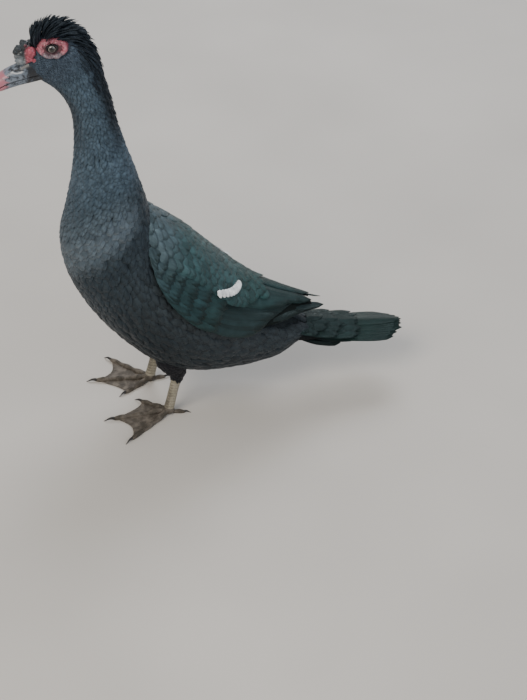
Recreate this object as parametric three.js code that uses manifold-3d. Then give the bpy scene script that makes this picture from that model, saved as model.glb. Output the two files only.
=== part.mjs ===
// A life-size Muscovy drake, standing with its neck up and its crest half raised.
// Millimetres. The bird faces -Y, its left side is +X, and +Z is up.
// It is drawn a little over life size, and lifeSize brings the whole bird down at the end.
// The body is one run of sections that lean from the tail, round the breast and up the neck to the
// forehead. Each section has a point on the back, a point on the underside and a half width.
// Wings, tail and crest are overlapping vanes fused to a core that lies on that body.
import * as THREE from "three";
import { mergeVertices } from "three/addons/utils/BufferGeometryUtils.js";
import Module from "manifold-3d";

const wasm = await Module();
wasm.setup();

// From the drawing, 91 cm long stretched out, to a drake of 83 cm
const lifeSize = 0.91;

// Gap that neighbouring nodes keep, in the drawing
const gap = 0.35;

// Sections of the body: [back y, back z], [underside y, underside z], half width
const bodySections = [
  { back: [226, 128], under: [226, 92], half: 33 },
  { back: [190, 152], under: [190, 71], half: 52 },
  { back: [152, 184], under: [150, 62], half: 64 },
  { back: [118, 218], under: [108, 62], half: 79 },
  { back: [86, 252], under: [66, 66], half: 91 },
  { back: [58, 282], under: [26, 77], half: 97 },
  { back: [32, 306], under: [-10, 99], half: 99 },
  { back: [14, 325], under: [-46, 134], half: 96 },
  { back: [6, 342], under: [-78, 174], half: 91 },
  { back: [2, 357], under: [-104, 218], half: 80 },
  { back: [-1, 372], under: [-122, 266], half: 68 },
  { back: [-6, 392], under: [-126, 318], half: 56 },
  { back: [-13, 418], under: [-113, 368], half: 44 },
  { back: [-22, 449], under: [-99, 424], half: 34 },
  { back: [-32, 484], under: [-93, 470], half: 27 },
  { back: [-39, 520], under: [-93, 509], half: 25 },
  { back: [-47, 556], under: [-102, 536], half: 25 },
  { back: [-56, 586], under: [-114, 552], half: 24 },
  { back: [-68, 611], under: [-125, 561], half: 23 },
  { back: [-85, 627], under: [-132, 566], half: 22 },
  { back: [-105, 633], under: [-138, 569], half: 20.5 },
  { back: [-123, 627], under: [-143, 573], half: 18 },
  { back: [-137, 611], under: [-146, 579], half: 14 },
];
const tailJoin = 0;
const neckJoin = 10;
const headJoin = 16;
const torsoMesh = { steps: 15, sides: 22 };
const neckMesh = { steps: 9, sides: 16 };
const headMesh = { steps: 11, sides: 18 };

// Outer face of the folded wing over the body: the same kind of sections, and the part that it covers,
// in degrees down from the back
const wingSections = [
  { back: [4, 348], under: [-66, 166], half: 88, top: 30, low: 48 },
  { back: [18, 334], under: [-40, 132], half: 104, top: 18, low: 64 },
  { back: [38, 317], under: [-8, 104], half: 110, top: 12, low: 72 },
  { back: [64, 294], under: [28, 82], half: 111, top: 9, low: 75 },
  { back: [92, 264], under: [64, 70], half: 106, top: 7, low: 75 },
  { back: [123, 233], under: [104, 64], half: 95, top: 6, low: 73 },
  { back: [155, 206], under: [146, 62], half: 80, top: 6, low: 69 },
  { back: [187, 187], under: [184, 68], half: 64, top: 7, low: 63 },
  { back: [218, 172], under: [218, 92], half: 47, top: 9, low: 57 },
  { back: [248, 160], under: [248, 112], half: 32, top: 16, low: 51 },
  { back: [270, 154], under: [270, 122], half: 23, top: 24, low: 45 },
];

const eye = { x: 20.5, y: -113, z: 616, radius: 6.2 };

// Small helpers: vectors, curves through sections, closed meshes and their unions
const vec = (x, y, z) => new THREE.Vector3(x, y, z);
const radians = THREE.MathUtils.degToRad;
const { lerp, clamp } = THREE.MathUtils;

function curveThrough(a, b, c, d, t) {
  const bend = 2 * b + (c - a) * t + (2 * a - 5 * b + 4 * c - d) * t * t;
  return 0.5 * (bend + (3 * b - a - 3 * c + d) * t * t * t);
}

function between(table, read, s) {
  const last = table.length - 1;
  const i = Math.min(Math.max(Math.floor(s), 0), last - 1);
  const at = (k) => {
    if (k < 0) return 2 * read(table[0]) - read(table[1]);
    if (k > last) return 2 * read(table[last]) - read(table[last - 1]);
    return read(table[k]);
  };
  return curveThrough(at(i - 1), at(i), at(i + 1), at(i + 2), s - i);
}

// Section s of a table: its middle, its unit direction to the back, half height and half width
function section(table, s) {
  const back = vec(0, between(table, (r) => r.back[0], s), between(table, (r) => r.back[1], s));
  const under = vec(0, between(table, (r) => r.under[0], s), between(table, (r) => r.under[1], s));
  const middle = back.clone().add(under).multiplyScalar(0.5);
  const rise = back.clone().sub(under);
  const height = rise.length() / 2;
  return { middle, rise: rise.normalize(), height, half: between(table, (r) => r.half, s) };
}

// Point at angle degrees down from the back on section s, set out by grow
function skinPoint(table, s, angle, grow = 0) {
  const { middle, rise, height, half } = section(table, s);
  const a = radians(angle);
  return middle
    .clone()
    .addScaledVector(rise, (height + grow) * Math.cos(a))
    .add(vec((half + grow) * Math.sin(a), 0, 0));
}

function skinNormal(table, s, angle) {
  const step = 0.05;
  const along = skinPoint(table, s + step, angle).sub(skinPoint(table, s - step, angle));
  const round = skinPoint(table, s, angle + 2).sub(skinPoint(table, s, angle - 2));
  return round.cross(along).normalize();
}

// A closed mesh from rings of equal length, with a flat fan at each end
function loft(rings) {
  const n = rings[0].length;
  const points = rings.flat();
  const faces = [];
  for (let r = 0; r + 1 < rings.length; r++)
    for (let i = 0; i < n; i++) {
      const j = (i + 1) % n;
      const [a, b, c, d] = [r * n + i, r * n + j, (r + 1) * n + j, (r + 1) * n + i];
      faces.push(a, b, c, a, c, d);
    }
  const last = (rings.length - 1) * n;
  for (let i = 1; i + 1 < n; i++) {
    faces.push(0, i + 1, i);
    faces.push(last, last + i, last + i + 1);
  }
  const geometry = new THREE.BufferGeometry().setFromPoints(points);
  geometry.setIndex(faces);
  return geometry;
}

// A solid from a closed geometry, with its faces turned out
function solidOf(geometry) {
  const bare = geometry.clone();
  for (const name of ["normal", "uv"]) bare.deleteAttribute(name);
  const merged = mergeVertices(bare, 1e-3);
  const vertProperties = merged.attributes.position.array;
  const triVerts = new Uint32Array(merged.index.array);
  const solid = new wasm.Manifold(new wasm.Mesh({ numProp: 3, vertProperties, triVerts }));
  if (solid.volume() > 0) return solid;
  for (let i = 0; i < triVerts.length; i += 3)
    [triVerts[i], triVerts[i + 1]] = [triVerts[i + 1], triVerts[i]];
  return new wasm.Manifold(new wasm.Mesh({ numProp: 3, vertProperties, triVerts }));
}

function joined(solids) {
  let whole = solids[0];
  for (const piece of solids.slice(1)) whole = whole.add(piece);
  return whole;
}

// The largest closed piece of a solid, without slivers shorter than 0.02 mm
function largest(solid) {
  const pieces = solid.simplify(0.02).decompose();
  return pieces.sort((a, b) => b.volume() - a.volume())[0];
}

function geometryOf(solid) {
  const { numProp, vertProperties, triVerts, numVert } = solid.getMesh();
  const position = new Float32Array(numVert * 3);
  for (let i = 0; i < numVert; i++)
    position.set(vertProperties.subarray(i * numProp, i * numProp + 3), i * 3);
  const geometry = new THREE.BufferGeometry();
  geometry.setAttribute("position", new THREE.BufferAttribute(position, 3));
  geometry.setIndex(new THREE.BufferAttribute(triVerts, 1));
  geometry.computeVertexNormals();
  return geometry;
}

const material = (color, roughness) =>
  new THREE.MeshStandardMaterial({ color, roughness, metalness: 0 });
const looks = {
  plumage: material("#1d2427", 0.6),
  wingFeather: material("#16332f", 0.45),
  tailFeather: material("#173a34", 0.45),
  caruncle: material("#c4525a", 0.55),
  bill: material("#8f9aa0", 0.4),
  leg: material("#8a8672", 0.7),
  claw: material("#4a4840", 0.45),
  eye: material("#2b1a10", 0.1),
};

const duck = new THREE.Group();
function addNode(name, solid, look) {
  const mesh = new THREE.Mesh(geometryOf(largest(solid)), looks[look]);
  mesh.name = name;
  duck.add(mesh);
}

const mirrored = (solid) => solid.mirror([1, 0, 0]);
const block = (x, y, z) => new THREE.BoxGeometry(x, y, z);
const sphere = (radius, across, down) => new THREE.SphereGeometry(radius, across, down);
const placed = (geometry, x, y, z) => solidOf(geometry.clone().translate(x, y, z));

// A fixed number from 0 to 1 for each n, for small differences between locks
const seeded = (n) => {
  const s = Math.sin(n * 127.1 + 311.7) * 43758.5453;
  return s - Math.floor(s);
};

// Body: torso, neck and head core are cut from the one run of sections.
// cutWidth is the gap between them, in sections.
function bodyRun(from, to, { steps, sides }, grow = 0) {
  const rings = [];
  for (let r = 0; r <= steps; r++) {
    const s = lerp(from, to, r / steps);
    const ring = [];
    for (let i = 0; i < sides; i++) ring.push(skinPoint(bodySections, s, (360 * i) / sides, grow));
    rings.push(ring);
  }
  return solidOf(loft(rings));
}
const cutWidth = 0.022;
const forehead = bodySections.length - 1;
const torso = bodyRun(tailJoin, neckJoin, torsoMesh);
const torsoGrown = bodyRun(tailJoin, neckJoin + cutWidth, torsoMesh, gap);
const neck = bodyRun(neckJoin + cutWidth, headJoin - cutWidth, neckMesh);
const headCore = bodyRun(headJoin, forehead, headMesh);
const headGrown = bodyRun(headJoin, forehead + 0.03, headMesh, gap);

// A vane: rings across a path, each a flat four-sided section, tapering to a narrow tip.
// path(t) gives { at, out, across }, with t from root to tip; tilt lifts one edge over the next vane.
function vane({ path, width, thick, tilt = 0, rings = [0, 0.4, 0.82, 1], shape = bladeShape }) {
  return solidOf(
    loft(
      rings.map((t) => {
        const { at, out, across } = path(t);
        const w = (width * shape(t)) / 2;
        const h = (thick * lerp(1, 0.5, t)) / 2;
        const edge = 0.25 * thick;
        return [
          at.clone().addScaledVector(out, h),
          at.clone().addScaledVector(across, w).addScaledVector(out, tilt * shape(t) - edge * 0.5),
          at.clone().addScaledVector(out, -h),
          at.clone().addScaledVector(across, -w).addScaledVector(out, -tilt * shape(t) - edge * 0.5),
        ];
      }),
    ),
  );
}
const bladeShape = (t) =>
  t < 0.5 ? lerp(0.6, 1, t * 2) : Math.sqrt(Math.max(0.02, 1 - ((t - 0.5) * 2) ** 3.2));
const lockShape = (t) => lerp(1, 0.2, t ** 2);

// Wings: a core that lies on the torso, and tiers of vanes set in its outer face
const onWing = (k, angle, lift) =>
  skinPoint(wingSections, k, angle).addScaledVector(skinNormal(wingSections, k, angle), lift);

// v runs from the wing's upper edge, 0, to its lower edge, 1
const wingAngle = (k, v) =>
  lerp(between(wingSections, (r) => r.top, k), between(wingSections, (r) => r.low, k), v);

const wingCore = { last: 8.6, outer: [-4, -6.5], inner: [-24, -8.5], rim: 1.3, rows: 9, columns: 5 };

function wingCoreSolid() {
  const { last, outer, inner, rim, rows, columns } = wingCore;
  const outerFace = [];
  const innerFace = [];
  for (let r = 0; r <= rows; r++)
    for (let c = 0; c <= columns; c++) {
      const k = (last * r) / rows;
      const v = c / columns;
      const onRim = r === 0 || r === rows || c === 0 || c === columns;
      const top = lerp(...outer, clamp((k - 2) / 3, 0, 1)) - (onRim ? 1 : 0);
      const deep = onRim ? top - rim : lerp(...inner, clamp((k - 5) / 3, 0, 1));
      const angle = wingAngle(k, v);
      outerFace.push(onWing(k, angle, top));
      innerFace.push(onWing(k, angle, deep));
    }
  return sheetSolid(outerFace, innerFace, rows, columns);
}

// Two grids of points, an outer and an inner face, closed round their rim
function sheetSolid(outerFace, innerFace, rows, columns) {
  const points = [...outerFace, ...innerFace];
  const other = outerFace.length;
  const id = (r, c) => r * (columns + 1) + c;
  const faces = [];
  for (let r = 0; r < rows; r++)
    for (let c = 0; c < columns; c++) {
      const [a, b, d, e] = [id(r, c), id(r, c + 1), id(r + 1, c + 1), id(r + 1, c)];
      faces.push(a, b, d, a, d, e);
      faces.push(other + a, other + d, other + b, other + a, other + e, other + d);
    }
  const rim = [];
  for (let c = 0; c < columns; c++) rim.push(id(0, c));
  for (let r = 0; r < rows; r++) rim.push(id(r, columns));
  for (let c = columns; c > 0; c--) rim.push(id(rows, c));
  for (let r = rows; r > 0; r--) rim.push(id(r, 0));
  rim.forEach((a, i) => {
    const b = rim[(i + 1) % rim.length];
    faces.push(a, other + a, other + b, a, other + b, b);
  });
  const geometry = new THREE.BufferGeometry().setFromPoints(points);
  geometry.setIndex(faces);
  return solidOf(geometry);
}

// Tiers of the folded wing, from those next to the body to those on top.
// from and to are [k, v] of a vane's root and tip, for the first and the last vane of the tier.
const wingTiers = {
  primaries: {
    count: 4, width: 22, rootLift: -8.5, tipLift: -5,
    first: { from: [5.0, 0.6], to: [9.9, 0.5] },
    last: { from: [4.4, 0.84], to: [8.4, 0.8] },
  },
  secondaries: {
    count: 5, width: 30, rootLift: -7.5, tipLift: -3,
    first: { from: [3.6, 0.6], to: [7.9, 0.42] },
    last: { from: [2.6, 0.95], to: [6.2, 1.02] },
  },
  tertials: {
    count: 4, width: 30, rootLift: -7.5, tipLift: -0.6,
    first: { from: [4.2, 0.06], to: [9.0, 0.1] },
    last: { from: [3.5, 0.5], to: [7.6, 0.36] },
  },
  greaterCoverts: {
    count: 5, width: 36, rootLift: -6, tipLift: 0.6,
    first: { from: [2.7, 0.2], to: [5.2, 0.14] },
    last: { from: [1.7, 0.95], to: [4.1, 0.99] },
  },
  medianCoverts: {
    count: 4, width: 35, rootLift: -6, tipLift: 1.1,
    first: { from: [1.8, 0.24], to: [3.8, 0.18] },
    last: { from: [1.0, 0.9], to: [2.9, 0.97] },
  },
  lesserCoverts: {
    count: 3, width: 38, rootLift: -5.8, tipLift: 1.5,
    first: { from: [1.0, 0.2], to: [2.8, 0.14] },
    last: { from: [0.5, 0.88], to: [2.0, 0.92] },
  },
  shoulderCoverts: {
    count: 2, width: 38, rootLift: -5.4, tipLift: 1.7,
    first: { from: [0.4, 0.25], to: [1.8, 0.1] },
    last: { from: [0.2, 0.75], to: [1.4, 0.85] },
  },
};
const wingVane = { thick: 1.1, tilt: 1.6, rings: [0, 0.35, 0.78, 1] };

function tierVane(tier, i) {
  const f = tier.count === 1 ? 0 : i / (tier.count - 1);
  const mix = (a, b) => [lerp(a[0], b[0], f), lerp(a[1], b[1], f)];
  const from = mix(tier.first.from, tier.last.from);
  const to = mix(tier.first.to, tier.last.to);
  const place = (t) => {
    const k = lerp(from[0], to[0], t);
    const v = lerp(from[1], to[1], t);
    return { k, angle: wingAngle(k, v) };
  };
  const path = (t) => {
    const { k, angle } = place(t);
    const next = place(t + 0.05);
    const out = skinNormal(wingSections, k, angle);
    const at = onWing(k, angle, lerp(tier.rootLift, tier.tipLift, Math.sqrt(t)));
    const along = onWing(next.k, next.angle, 0).sub(onWing(k, angle, 0)).normalize();
    return { at, out, across: along.cross(out).normalize() };
  };
  return vane({ path, width: tier.width, ...wingVane });
}

const wingFeathers = joined([
  wingCoreSolid(),
  ...Object.values(wingTiers).flatMap((tier) =>
    Array.from({ length: tier.count }, (_, i) => tierVane(tier, i)),
  ),
]);

// Tail: a flattened core behind the rump, a closed fan of quills, and coverts above and below
const tail = {
  root: 226, tip: 400, rootHeight: 110, tipHeight: 89, pairs: 5, quillWidth: 31, thick: 1.2, tilt: 0.9,
  droop: 0.16, rounding: 26, covertRounding: 14,
};
const tailMiddle = (y) => {
  const t = (y - tail.root) / (tail.tip - tail.root);
  return lerp(tail.rootHeight, tail.tipHeight, Math.sqrt(Math.max(0, t)) * 0.45 + t * 0.55);
};

function tailPath({ side, fromY, toY, spreadFrom, spreadTo, lift, tipLift }) {
  return (t) => {
    const y = lerp(fromY, toY, t);
    const x = side * lerp(spreadFrom, spreadTo, t ** 0.8);
    const z = tailMiddle(y) + lerp(lift, tipLift, Math.sqrt(t)) - tail.droop * Math.abs(x);
    const out = vec(side * tail.droop, 0, 1).normalize();
    const along = vec(side * (spreadTo - spreadFrom), toY - fromY, 0).normalize();
    return { at: vec(x, y, z), out, across: along.cross(out).normalize() };
  };
}

function tailQuills() {
  const quills = [];
  for (let i = 0; i <= tail.pairs; i++) {
    const f = i / tail.pairs;
    for (const side of i === 0 ? [1] : [-1, 1]) {
      const path = tailPath({
        side, fromY: tail.root + 12, toY: tail.tip - tail.rounding * f ** 2,
        spreadFrom: 20 * f, spreadTo: 33 * f, lift: 3 - 5 * f, tipLift: 2.5 - 5 * f,
      });
      const tilt = side * tail.tilt * Math.sign(f);
      quills.push(vane({ path, width: tail.quillWidth, thick: tail.thick, tilt }));
    }
  }
  return quills;
}

// Rows of coverts over the tail's root, where lift is above 0, and under it
const covertRows = [
  { count: 4, fromY: 240, toY: 318, spread: 30, lift: 4, tipLift: 6.5, width: 27 },
  { count: 4, fromY: 228, toY: 288, spread: 28, lift: 7, tipLift: 10.5, width: 28 },
  { count: 4, fromY: 242, toY: 336, spread: 28, lift: -5, tipLift: -8, width: 27 },
  { count: 4, fromY: 230, toY: 300, spread: 28, lift: -9, tipLift: -14, width: 30 },
];

function tailCoverts() {
  return covertRows.flatMap(({ count, fromY, toY, spread, lift, tipLift, width }) =>
    Array.from({ length: count }, (_, i) => {
      const f = (2 * i) / (count - 1) - 1;
      const path = tailPath({
        side: Math.sign(f), fromY, toY: toY - tail.covertRounding * f * f,
        spreadFrom: spread * 0.8 * Math.abs(f), spreadTo: spread * Math.abs(f), lift, tipLift,
      });
      return vane({ path, width, thick: tail.thick, tilt: Math.sign(f) * tail.tilt });
    }),
  );
}

// The fleshy core: place along the tail, half width and half height
const tailCoreRings = [
  { y: tail.root + gap, half: 33, tall: 17.6 },
  { y: 240, half: 37, tall: 15.5 },
  { y: 258, half: 37, tall: 12.5 },
  { y: 276, half: 35, tall: 9.5 },
  { y: 294, half: 31, tall: 6.5 },
  { y: 308, half: 25, tall: 3.5 },
];
const tailCoreSides = 16;

function tailCore() {
  const rings = tailCoreRings.map(({ y, half, tall }, r) => {
    const droop = tail.droop * (r / (tailCoreRings.length - 1));
    return Array.from({ length: tailCoreSides }, (_, i) => {
      const a = (2 * Math.PI * i) / tailCoreSides;
      const x = half * Math.sin(a);
      return vec(x, y, tailMiddle(y) + tall * Math.cos(a) - droop * Math.abs(x));
    });
  });
  return solidOf(loft(rings));
}

const tailSolid = joined([tailCore(), ...tailQuills(), ...tailCoverts()]).subtract(torsoGrown);

// Head: crest locks on the crown, lids round the eyes. even and odd are the degrees from the crown's
// middle at which the locks of every second row stand.
const crest = {
  rows: 7, first: 16.9, last: 21.4, sunk: 2.5, height: 21, width: 12, thick: 2.4,
  even: [-40, -20, 0, 20, 40], odd: [-30, -10, 10, 30],
};

function crestLocks(grow = 0) {
  const locks = [];
  for (let r = 0; r < crest.rows; r++) {
    const f = r / (crest.rows - 1);
    const s = lerp(crest.first, crest.last, f);
    const angles = r % 2 ? crest.odd : crest.even;
    angles.forEach((angle, i) => {
      const n = r * 7 + i;
      const root = skinPoint(bodySections, s, angle, -crest.sunk);
      const tall = crest.height * lerp(0.62, 1, Math.sin(Math.PI * Math.min(1, 0.25 + f * 0.7)));
      const length = tall * (0.86 + 0.24 * seeded(n)) * (1 - Math.abs(angle) / 110);
      const lean = lerp(0.95, 0.1, f) + 0.15 * (seeded(n + 50) - 0.5);
      const side = angle / 75;
      const up = vec(side * 0.55, lean, 1 - 0.2 * lean).normalize();
      const curl = vec(-side * 0.25, 0.28, 0.05);
      const path = (t) => {
        const at = root.clone();
        at.addScaledVector(up, (length + crest.sunk) * t).addScaledVector(curl, length * t * t);
        const along = up.clone().addScaledVector(curl, 2 * t).normalize();
        const acrossWay = vec(1, 0.6 * (seeded(n + 9) - 0.5), 0).cross(along).normalize();
        return { at, out: along.clone().cross(acrossWay).normalize(), across: acrossWay };
      };
      const width = crest.width + 2 * grow;
      const thick = crest.thick + 4 * grow;
      locks.push(vane({ path, width, thick, rings: [0, 0.6, 1], shape: lockShape }));
    });
  }
  return locks;
}

const lid = { radius: eye.radius * 0.92, tube: 1.5, out: 1.6, turn: 0.12 };

function eyelid(side) {
  const ring = new THREE.TorusGeometry(lid.radius, lid.tube, 5, 14);
  ring.scale(0.88, 1.12, 1);
  ring.rotateY(Math.PI / 2);
  ring.rotateZ(side * -lid.turn);
  return placed(ring, side * (eye.x + lid.out), eye.y, eye.z);
}
const eyeBall = (side, grow = 0) =>
  placed(sphere(eye.radius + grow, 12, 8), side * eye.x * 0.93, eye.y, eye.z);
const bothEyes = (grow) => eyeBall(1, grow).add(eyeBall(-1, grow));
const head = joined([headCore, eyelid(1), eyelid(-1), ...crestLocks()]).subtract(bothEyes(gap));

// Bill: upper and lower halves part at the line of the mouth, with open nostrils and a hooked nail
const billSections = [
  { y: -130, top: 603, mouth: 578, bottom: 567, half: 15.5 },
  { y: -146, top: 596, mouth: 575, bottom: 564, half: 14.8 },
  { y: -160, top: 589, mouth: 572, bottom: 561.5, half: 13.6 },
  { y: -174, top: 583, mouth: 568.5, bottom: 558.5, half: 13.4 },
  { y: -186, top: 576, mouth: 563.5, bottom: 555.5, half: 13 },
  { y: -193, top: 570.5, mouth: 560, bottom: 554.5, half: 10.5 },
  { y: -198, top: 564, mouth: 557, bottom: 554, half: 5 },
];
const billSides = 14;
const billSquareness = 0.75;
const rounded = (v) => Math.sign(v) * Math.abs(v) ** billSquareness;

function billRun(read, grow = 0) {
  return solidOf(
    loft(
      billSections.map((station) => {
        const { y, high, low, half } = read(station);
        const middle = (high + low) / 2;
        const tall = (high - low) / 2 + grow;
        return Array.from({ length: billSides }, (_, i) => {
          const a = (2 * Math.PI * i) / billSides;
          return vec((half + grow) * rounded(Math.sin(a)), y - grow, middle + tall * rounded(Math.cos(a)));
        });
      }),
    ),
  );
}
const upperOf = ({ y, top, mouth, half }) => ({ y, high: top, low: mouth + gap / 2, half });
const lowerBill = { back: 2.5, inset: 0.9 };
const lowerOf = ({ y, mouth, bottom, half }) => ({
  y: y + lowerBill.back, high: mouth - gap / 2, low: bottom, half: half - lowerBill.inset,
});
const nostril = { at: [0, -161, 583.5], size: [20, 3.6, 1.5], turn: 0.2 };
const nail = { at: [0, -193.5, 563], size: [5.2, 6, 5.6], turn: 0 };

function billBall({ at, size, turn }) {
  const ball = sphere(1, 8, 6);
  ball.scale(...size);
  ball.rotateX(turn);
  return placed(ball, ...at);
}
const billUpper = billRun(upperOf)
  .add(billBall(nail))
  .subtract(billBall(nostril))
  .subtract(headGrown)
  .subtract(billRun(lowerOf, gap));
const billLower = billRun(lowerOf).subtract(headGrown);
const billGrown = billRun(({ y, top, mouth, half }) => ({ y, high: top, low: mouth, half }), gap);

// Caruncles: fleshy bulbs on the bill's base and round each eye
const knobBulbs = [
  { at: [0, -151, 603], size: [8, 12, 8.5] },
  { at: [0, -145, 613], size: [8, 9, 7.5] },
  { at: [1, -155, 611], size: [5.5, 5.5, 5.5] },
  { at: [-4, -149, 617], size: [4, 4.5, 4.5] },
  { at: [8, -146, 606], size: [5.5, 6, 6] },
  { at: [-8, -146, 606], size: [5.5, 6, 6] },
  { at: [11.5, -140, 609], size: [5.5, 7, 8] },
  { at: [-11.5, -140, 609], size: [5.5, 7, 8] },
  { at: [12, -143, 601], size: [4.5, 6, 5] },
  { at: [-12, -143, 601], size: [4.5, 6, 5] },
];

function bulb({ at, size }) {
  const ball = sphere(1, 7, 4);
  ball.scale(...size);
  return placed(ball, ...at);
}
const knob = joined(knobBulbs.map(bulb)).subtract(headGrown).subtract(billGrown);

// Fleshy plate round the left eye, and its bulbs: degrees round the plate from the bill side,
// how far out they sit on it, and their radius
const facePlate = { depth: 6.5, long: 19, tall: 12, back: 1.5, down: 1 };
const faceBulbs = [
  [0, 0.84, 5], [40, 0.86, 4.6], [80, 0.8, 4.4], [122, 0.82, 4.4],
  [168, 0.9, 4.8], [202, 0.86, 5], [240, 0.84, 4.6], [278, 0.8, 4.4], [318, 0.86, 5],
];

function faceCaruncle() {
  const plate = sphere(1, 12, 5);
  plate.scale(facePlate.depth, facePlate.long, facePlate.tall);
  const middle = vec(eye.x - 3.5, eye.y + facePlate.back, eye.z - facePlate.down);
  const parts = [placed(plate, middle.x, middle.y, middle.z)];
  for (const [turn, out, size] of faceBulbs) {
    const a = radians(turn);
    const ball = sphere(size, 6, 4);
    ball.scale(0.75, 1.15, 1);
    const y = middle.y - facePlate.long * out * Math.cos(a);
    const z = middle.z + facePlate.tall * out * Math.sin(a);
    parts.push(placed(ball, eye.x - 1.8, y, z));
  }
  return joined(parts).subtract(eyeBall(1, gap).add(lidRoom()));
}

// Room for the lid in the plate, and for the knob's bulbs beside it
function lidRoom() {
  const radius = lid.radius + lid.tube + 0.6;
  const room = new THREE.CylinderGeometry(radius, radius, 30, 20);
  room.rotateZ(Math.PI / 2);
  room.scale(1, 1.1, 0.92);
  return placed(room, eye.x + 10, eye.y, eye.z);
}

function knobRoom() {
  return joined(knobBulbs.map(({ at, size }) => bulb({ at, size: size.map((v) => v + gap) })));
}
const leftFace = faceCaruncle();
const besideFace = joined([headGrown, billGrown, knobRoom(), ...crestLocks(3 * gap)]);

// What is cut away below the floor, and past the middle of the back from the left wing
const belowFloor = placed(block(500, 800, 40), 0, 0, -20);
const overMiddle = placed(block(200, 500, 600), gap / 2 - 100, 100, 200);

// Legs. joint is where the toes meet, hock the top of the bare shank
const legs = {
  left: { side: 1, joint: [45, 13, 11], hock: [47, 29, 80], turn: 0 },
  right: { side: -1, joint: [-44, -4, 11], hock: [-45, 15, 80], turn: -9 },
};
const shankRings = [
  { t: 0.06, deep: 8, wide: 7.2 },
  { t: 0.2, deep: 7.7, wide: 6.6 },
  { t: 0.5, deep: 7.5, wide: 6.3 },
  { t: 0.8, deep: 7.9, wide: 6.7 },
  { t: 1, deep: 8.6, wide: 7.4 },
];

function legAxis({ joint, hock }) {
  const foot = vec(...joint);
  const top = vec(...hock);
  return { foot, top, up: top.clone().sub(foot).normalize() };
}

// Rings across a straight or bent line: list of { at, up, deep, wide }
function limb(rings, sides) {
  return solidOf(
    loft(
      rings.map(({ at, up, deep, wide }) => {
        const forward = vec(0, -1, 0).addScaledVector(up, up.y).normalize();
        const aside = up.clone().cross(forward).normalize();
        return Array.from({ length: sides }, (_, i) => {
          const a = (2 * Math.PI * i) / sides;
          return at
            .clone()
            .addScaledVector(forward, deep * Math.cos(a))
            .addScaledVector(aside, wide * Math.sin(a));
        });
      }),
    ),
  );
}

function shank(leg, grow = 0) {
  const { foot, top, up } = legAxis(leg);
  return limb(
    shankRings.map(({ t, deep, wide }, i) => {
      const past = grow * (i === 0 ? -1 : i === shankRings.length - 1 ? 1 : 0);
      const at = foot.clone().lerp(top, t).addScaledVector(up, past);
      return { at, up, deep: deep + grow, wide: wide + grow };
    }),
    12,
  );
}

// The feathered thigh comes out of the belly and closes round the hock
function thigh(leg) {
  const { top, up } = legAxis(leg);
  const inward = vec(-0.15 * leg.side, -0.3, 1).normalize();
  const rings = [
    { at: top.clone().addScaledVector(up, -9), up, deep: 9.6, wide: 8.6 },
    { at: top.clone().addScaledVector(up, -3), up, deep: 12.5, wide: 11 },
    { at: top.clone().addScaledVector(inward, 8), up: inward, deep: 18, wide: 15 },
    { at: top.clone().addScaledVector(inward, 24), up: inward, deep: 25, wide: 20 },
    { at: top.clone().addScaledVector(inward, 48), up: inward, deep: 24, wide: 20 },
  ];
  return limb(rings, 12).subtract(torsoGrown).subtract(shank(leg, gap));
}

// Toes: heading in degrees from straight ahead towards the outer side, length and claw
const toes = [
  { name: "inner", heading: -41, length: 53, root: 5.2, tip: 3.4, claw: 12, joints: 2 },
  { name: "middle", heading: 0, length: 88, root: 5.6, tip: 3.6, claw: 15, joints: 3 },
  { name: "outer", heading: 39, length: 86, root: 5.4, tip: 3.4, claw: 13, joints: 3 },
  { name: "hind", heading: 168, length: 24, root: 4, tip: 2.8, claw: 10, joints: 1 },
];

const toeSides = 6;
const knuckle = { wide: 1.1, narrow: 0.86 };
const toeRootHeight = 8;

function toeFrame(leg, toe) {
  const a = radians(toe.heading * leg.side + leg.turn);
  const ahead = vec(Math.sin(a), -Math.cos(a), 0);
  return { ahead, aside: vec(Math.cos(a), Math.sin(a), 0) };
}

function toeSolid(leg, toe) {
  const { ahead, aside } = toeFrame(leg, toe);
  const start = vec(leg.joint[0], leg.joint[1], 0);
  const steps = toe.joints * 2 + 1;
  const rings = [];
  for (let i = 0; i <= steps; i++) {
    const t = i / steps;
    const radius = lerp(toe.root, toe.tip, t) * (i % 2 === 0 ? knuckle.wide : knuckle.narrow);
    const height = lerp(toeRootHeight, radius * 0.8, Math.min(1, t * 3.2));
    const at = start.clone().addScaledVector(ahead, toe.length * t).setZ(height);
    rings.push(
      Array.from({ length: toeSides }, (_, k) => {
        const a = (2 * Math.PI * k) / toeSides;
        return at
          .clone()
          .addScaledVector(aside, radius * 0.92 * Math.cos(a))
          .add(vec(0, 0, radius * Math.sin(a)));
      }),
    );
  }
  return solidOf(loft(rings));
}

// Web between two toes: a plate whose front edge hangs back between the claws
const web = { rows: 3, columns: 4, sag: 0.2, short: 3, rootLevel: 4.5, edgeLevel: 1.9, thick: 1.8 };

function webSolid(leg, toeA, toeB) {
  const a = toeFrame(leg, toeA).ahead;
  const b = toeFrame(leg, toeB).ahead;
  const start = vec(leg.joint[0], leg.joint[1], 0);
  const { rows, columns, sag: fullSag, short, rootLevel, edgeLevel, thick } = web;
  const upper = [];
  const lower = [];
  for (let r = 0; r <= rows; r++)
    for (let c = 0; c <= columns; c++) {
      const f = c / columns;
      const reach = (r + 0.4) / (rows + 0.4);
      const sag = 1 - fullSag * (4 * f * (1 - f)) * reach;
      const length = lerp(toeA.length - short, toeB.length - short, f) * reach * sag;
      const way = a.clone().lerp(b, f).normalize();
      const at = start.clone().addScaledVector(way, length);
      const z = lerp(rootLevel, edgeLevel, reach);
      upper.push(at.clone().setZ(z + thick / 2));
      lower.push(at.clone().setZ(z - thick / 2));
    }
  return sheetSolid(upper, lower, rows, columns);
}

const ankleSize = [8.6, 9, 8];

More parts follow.
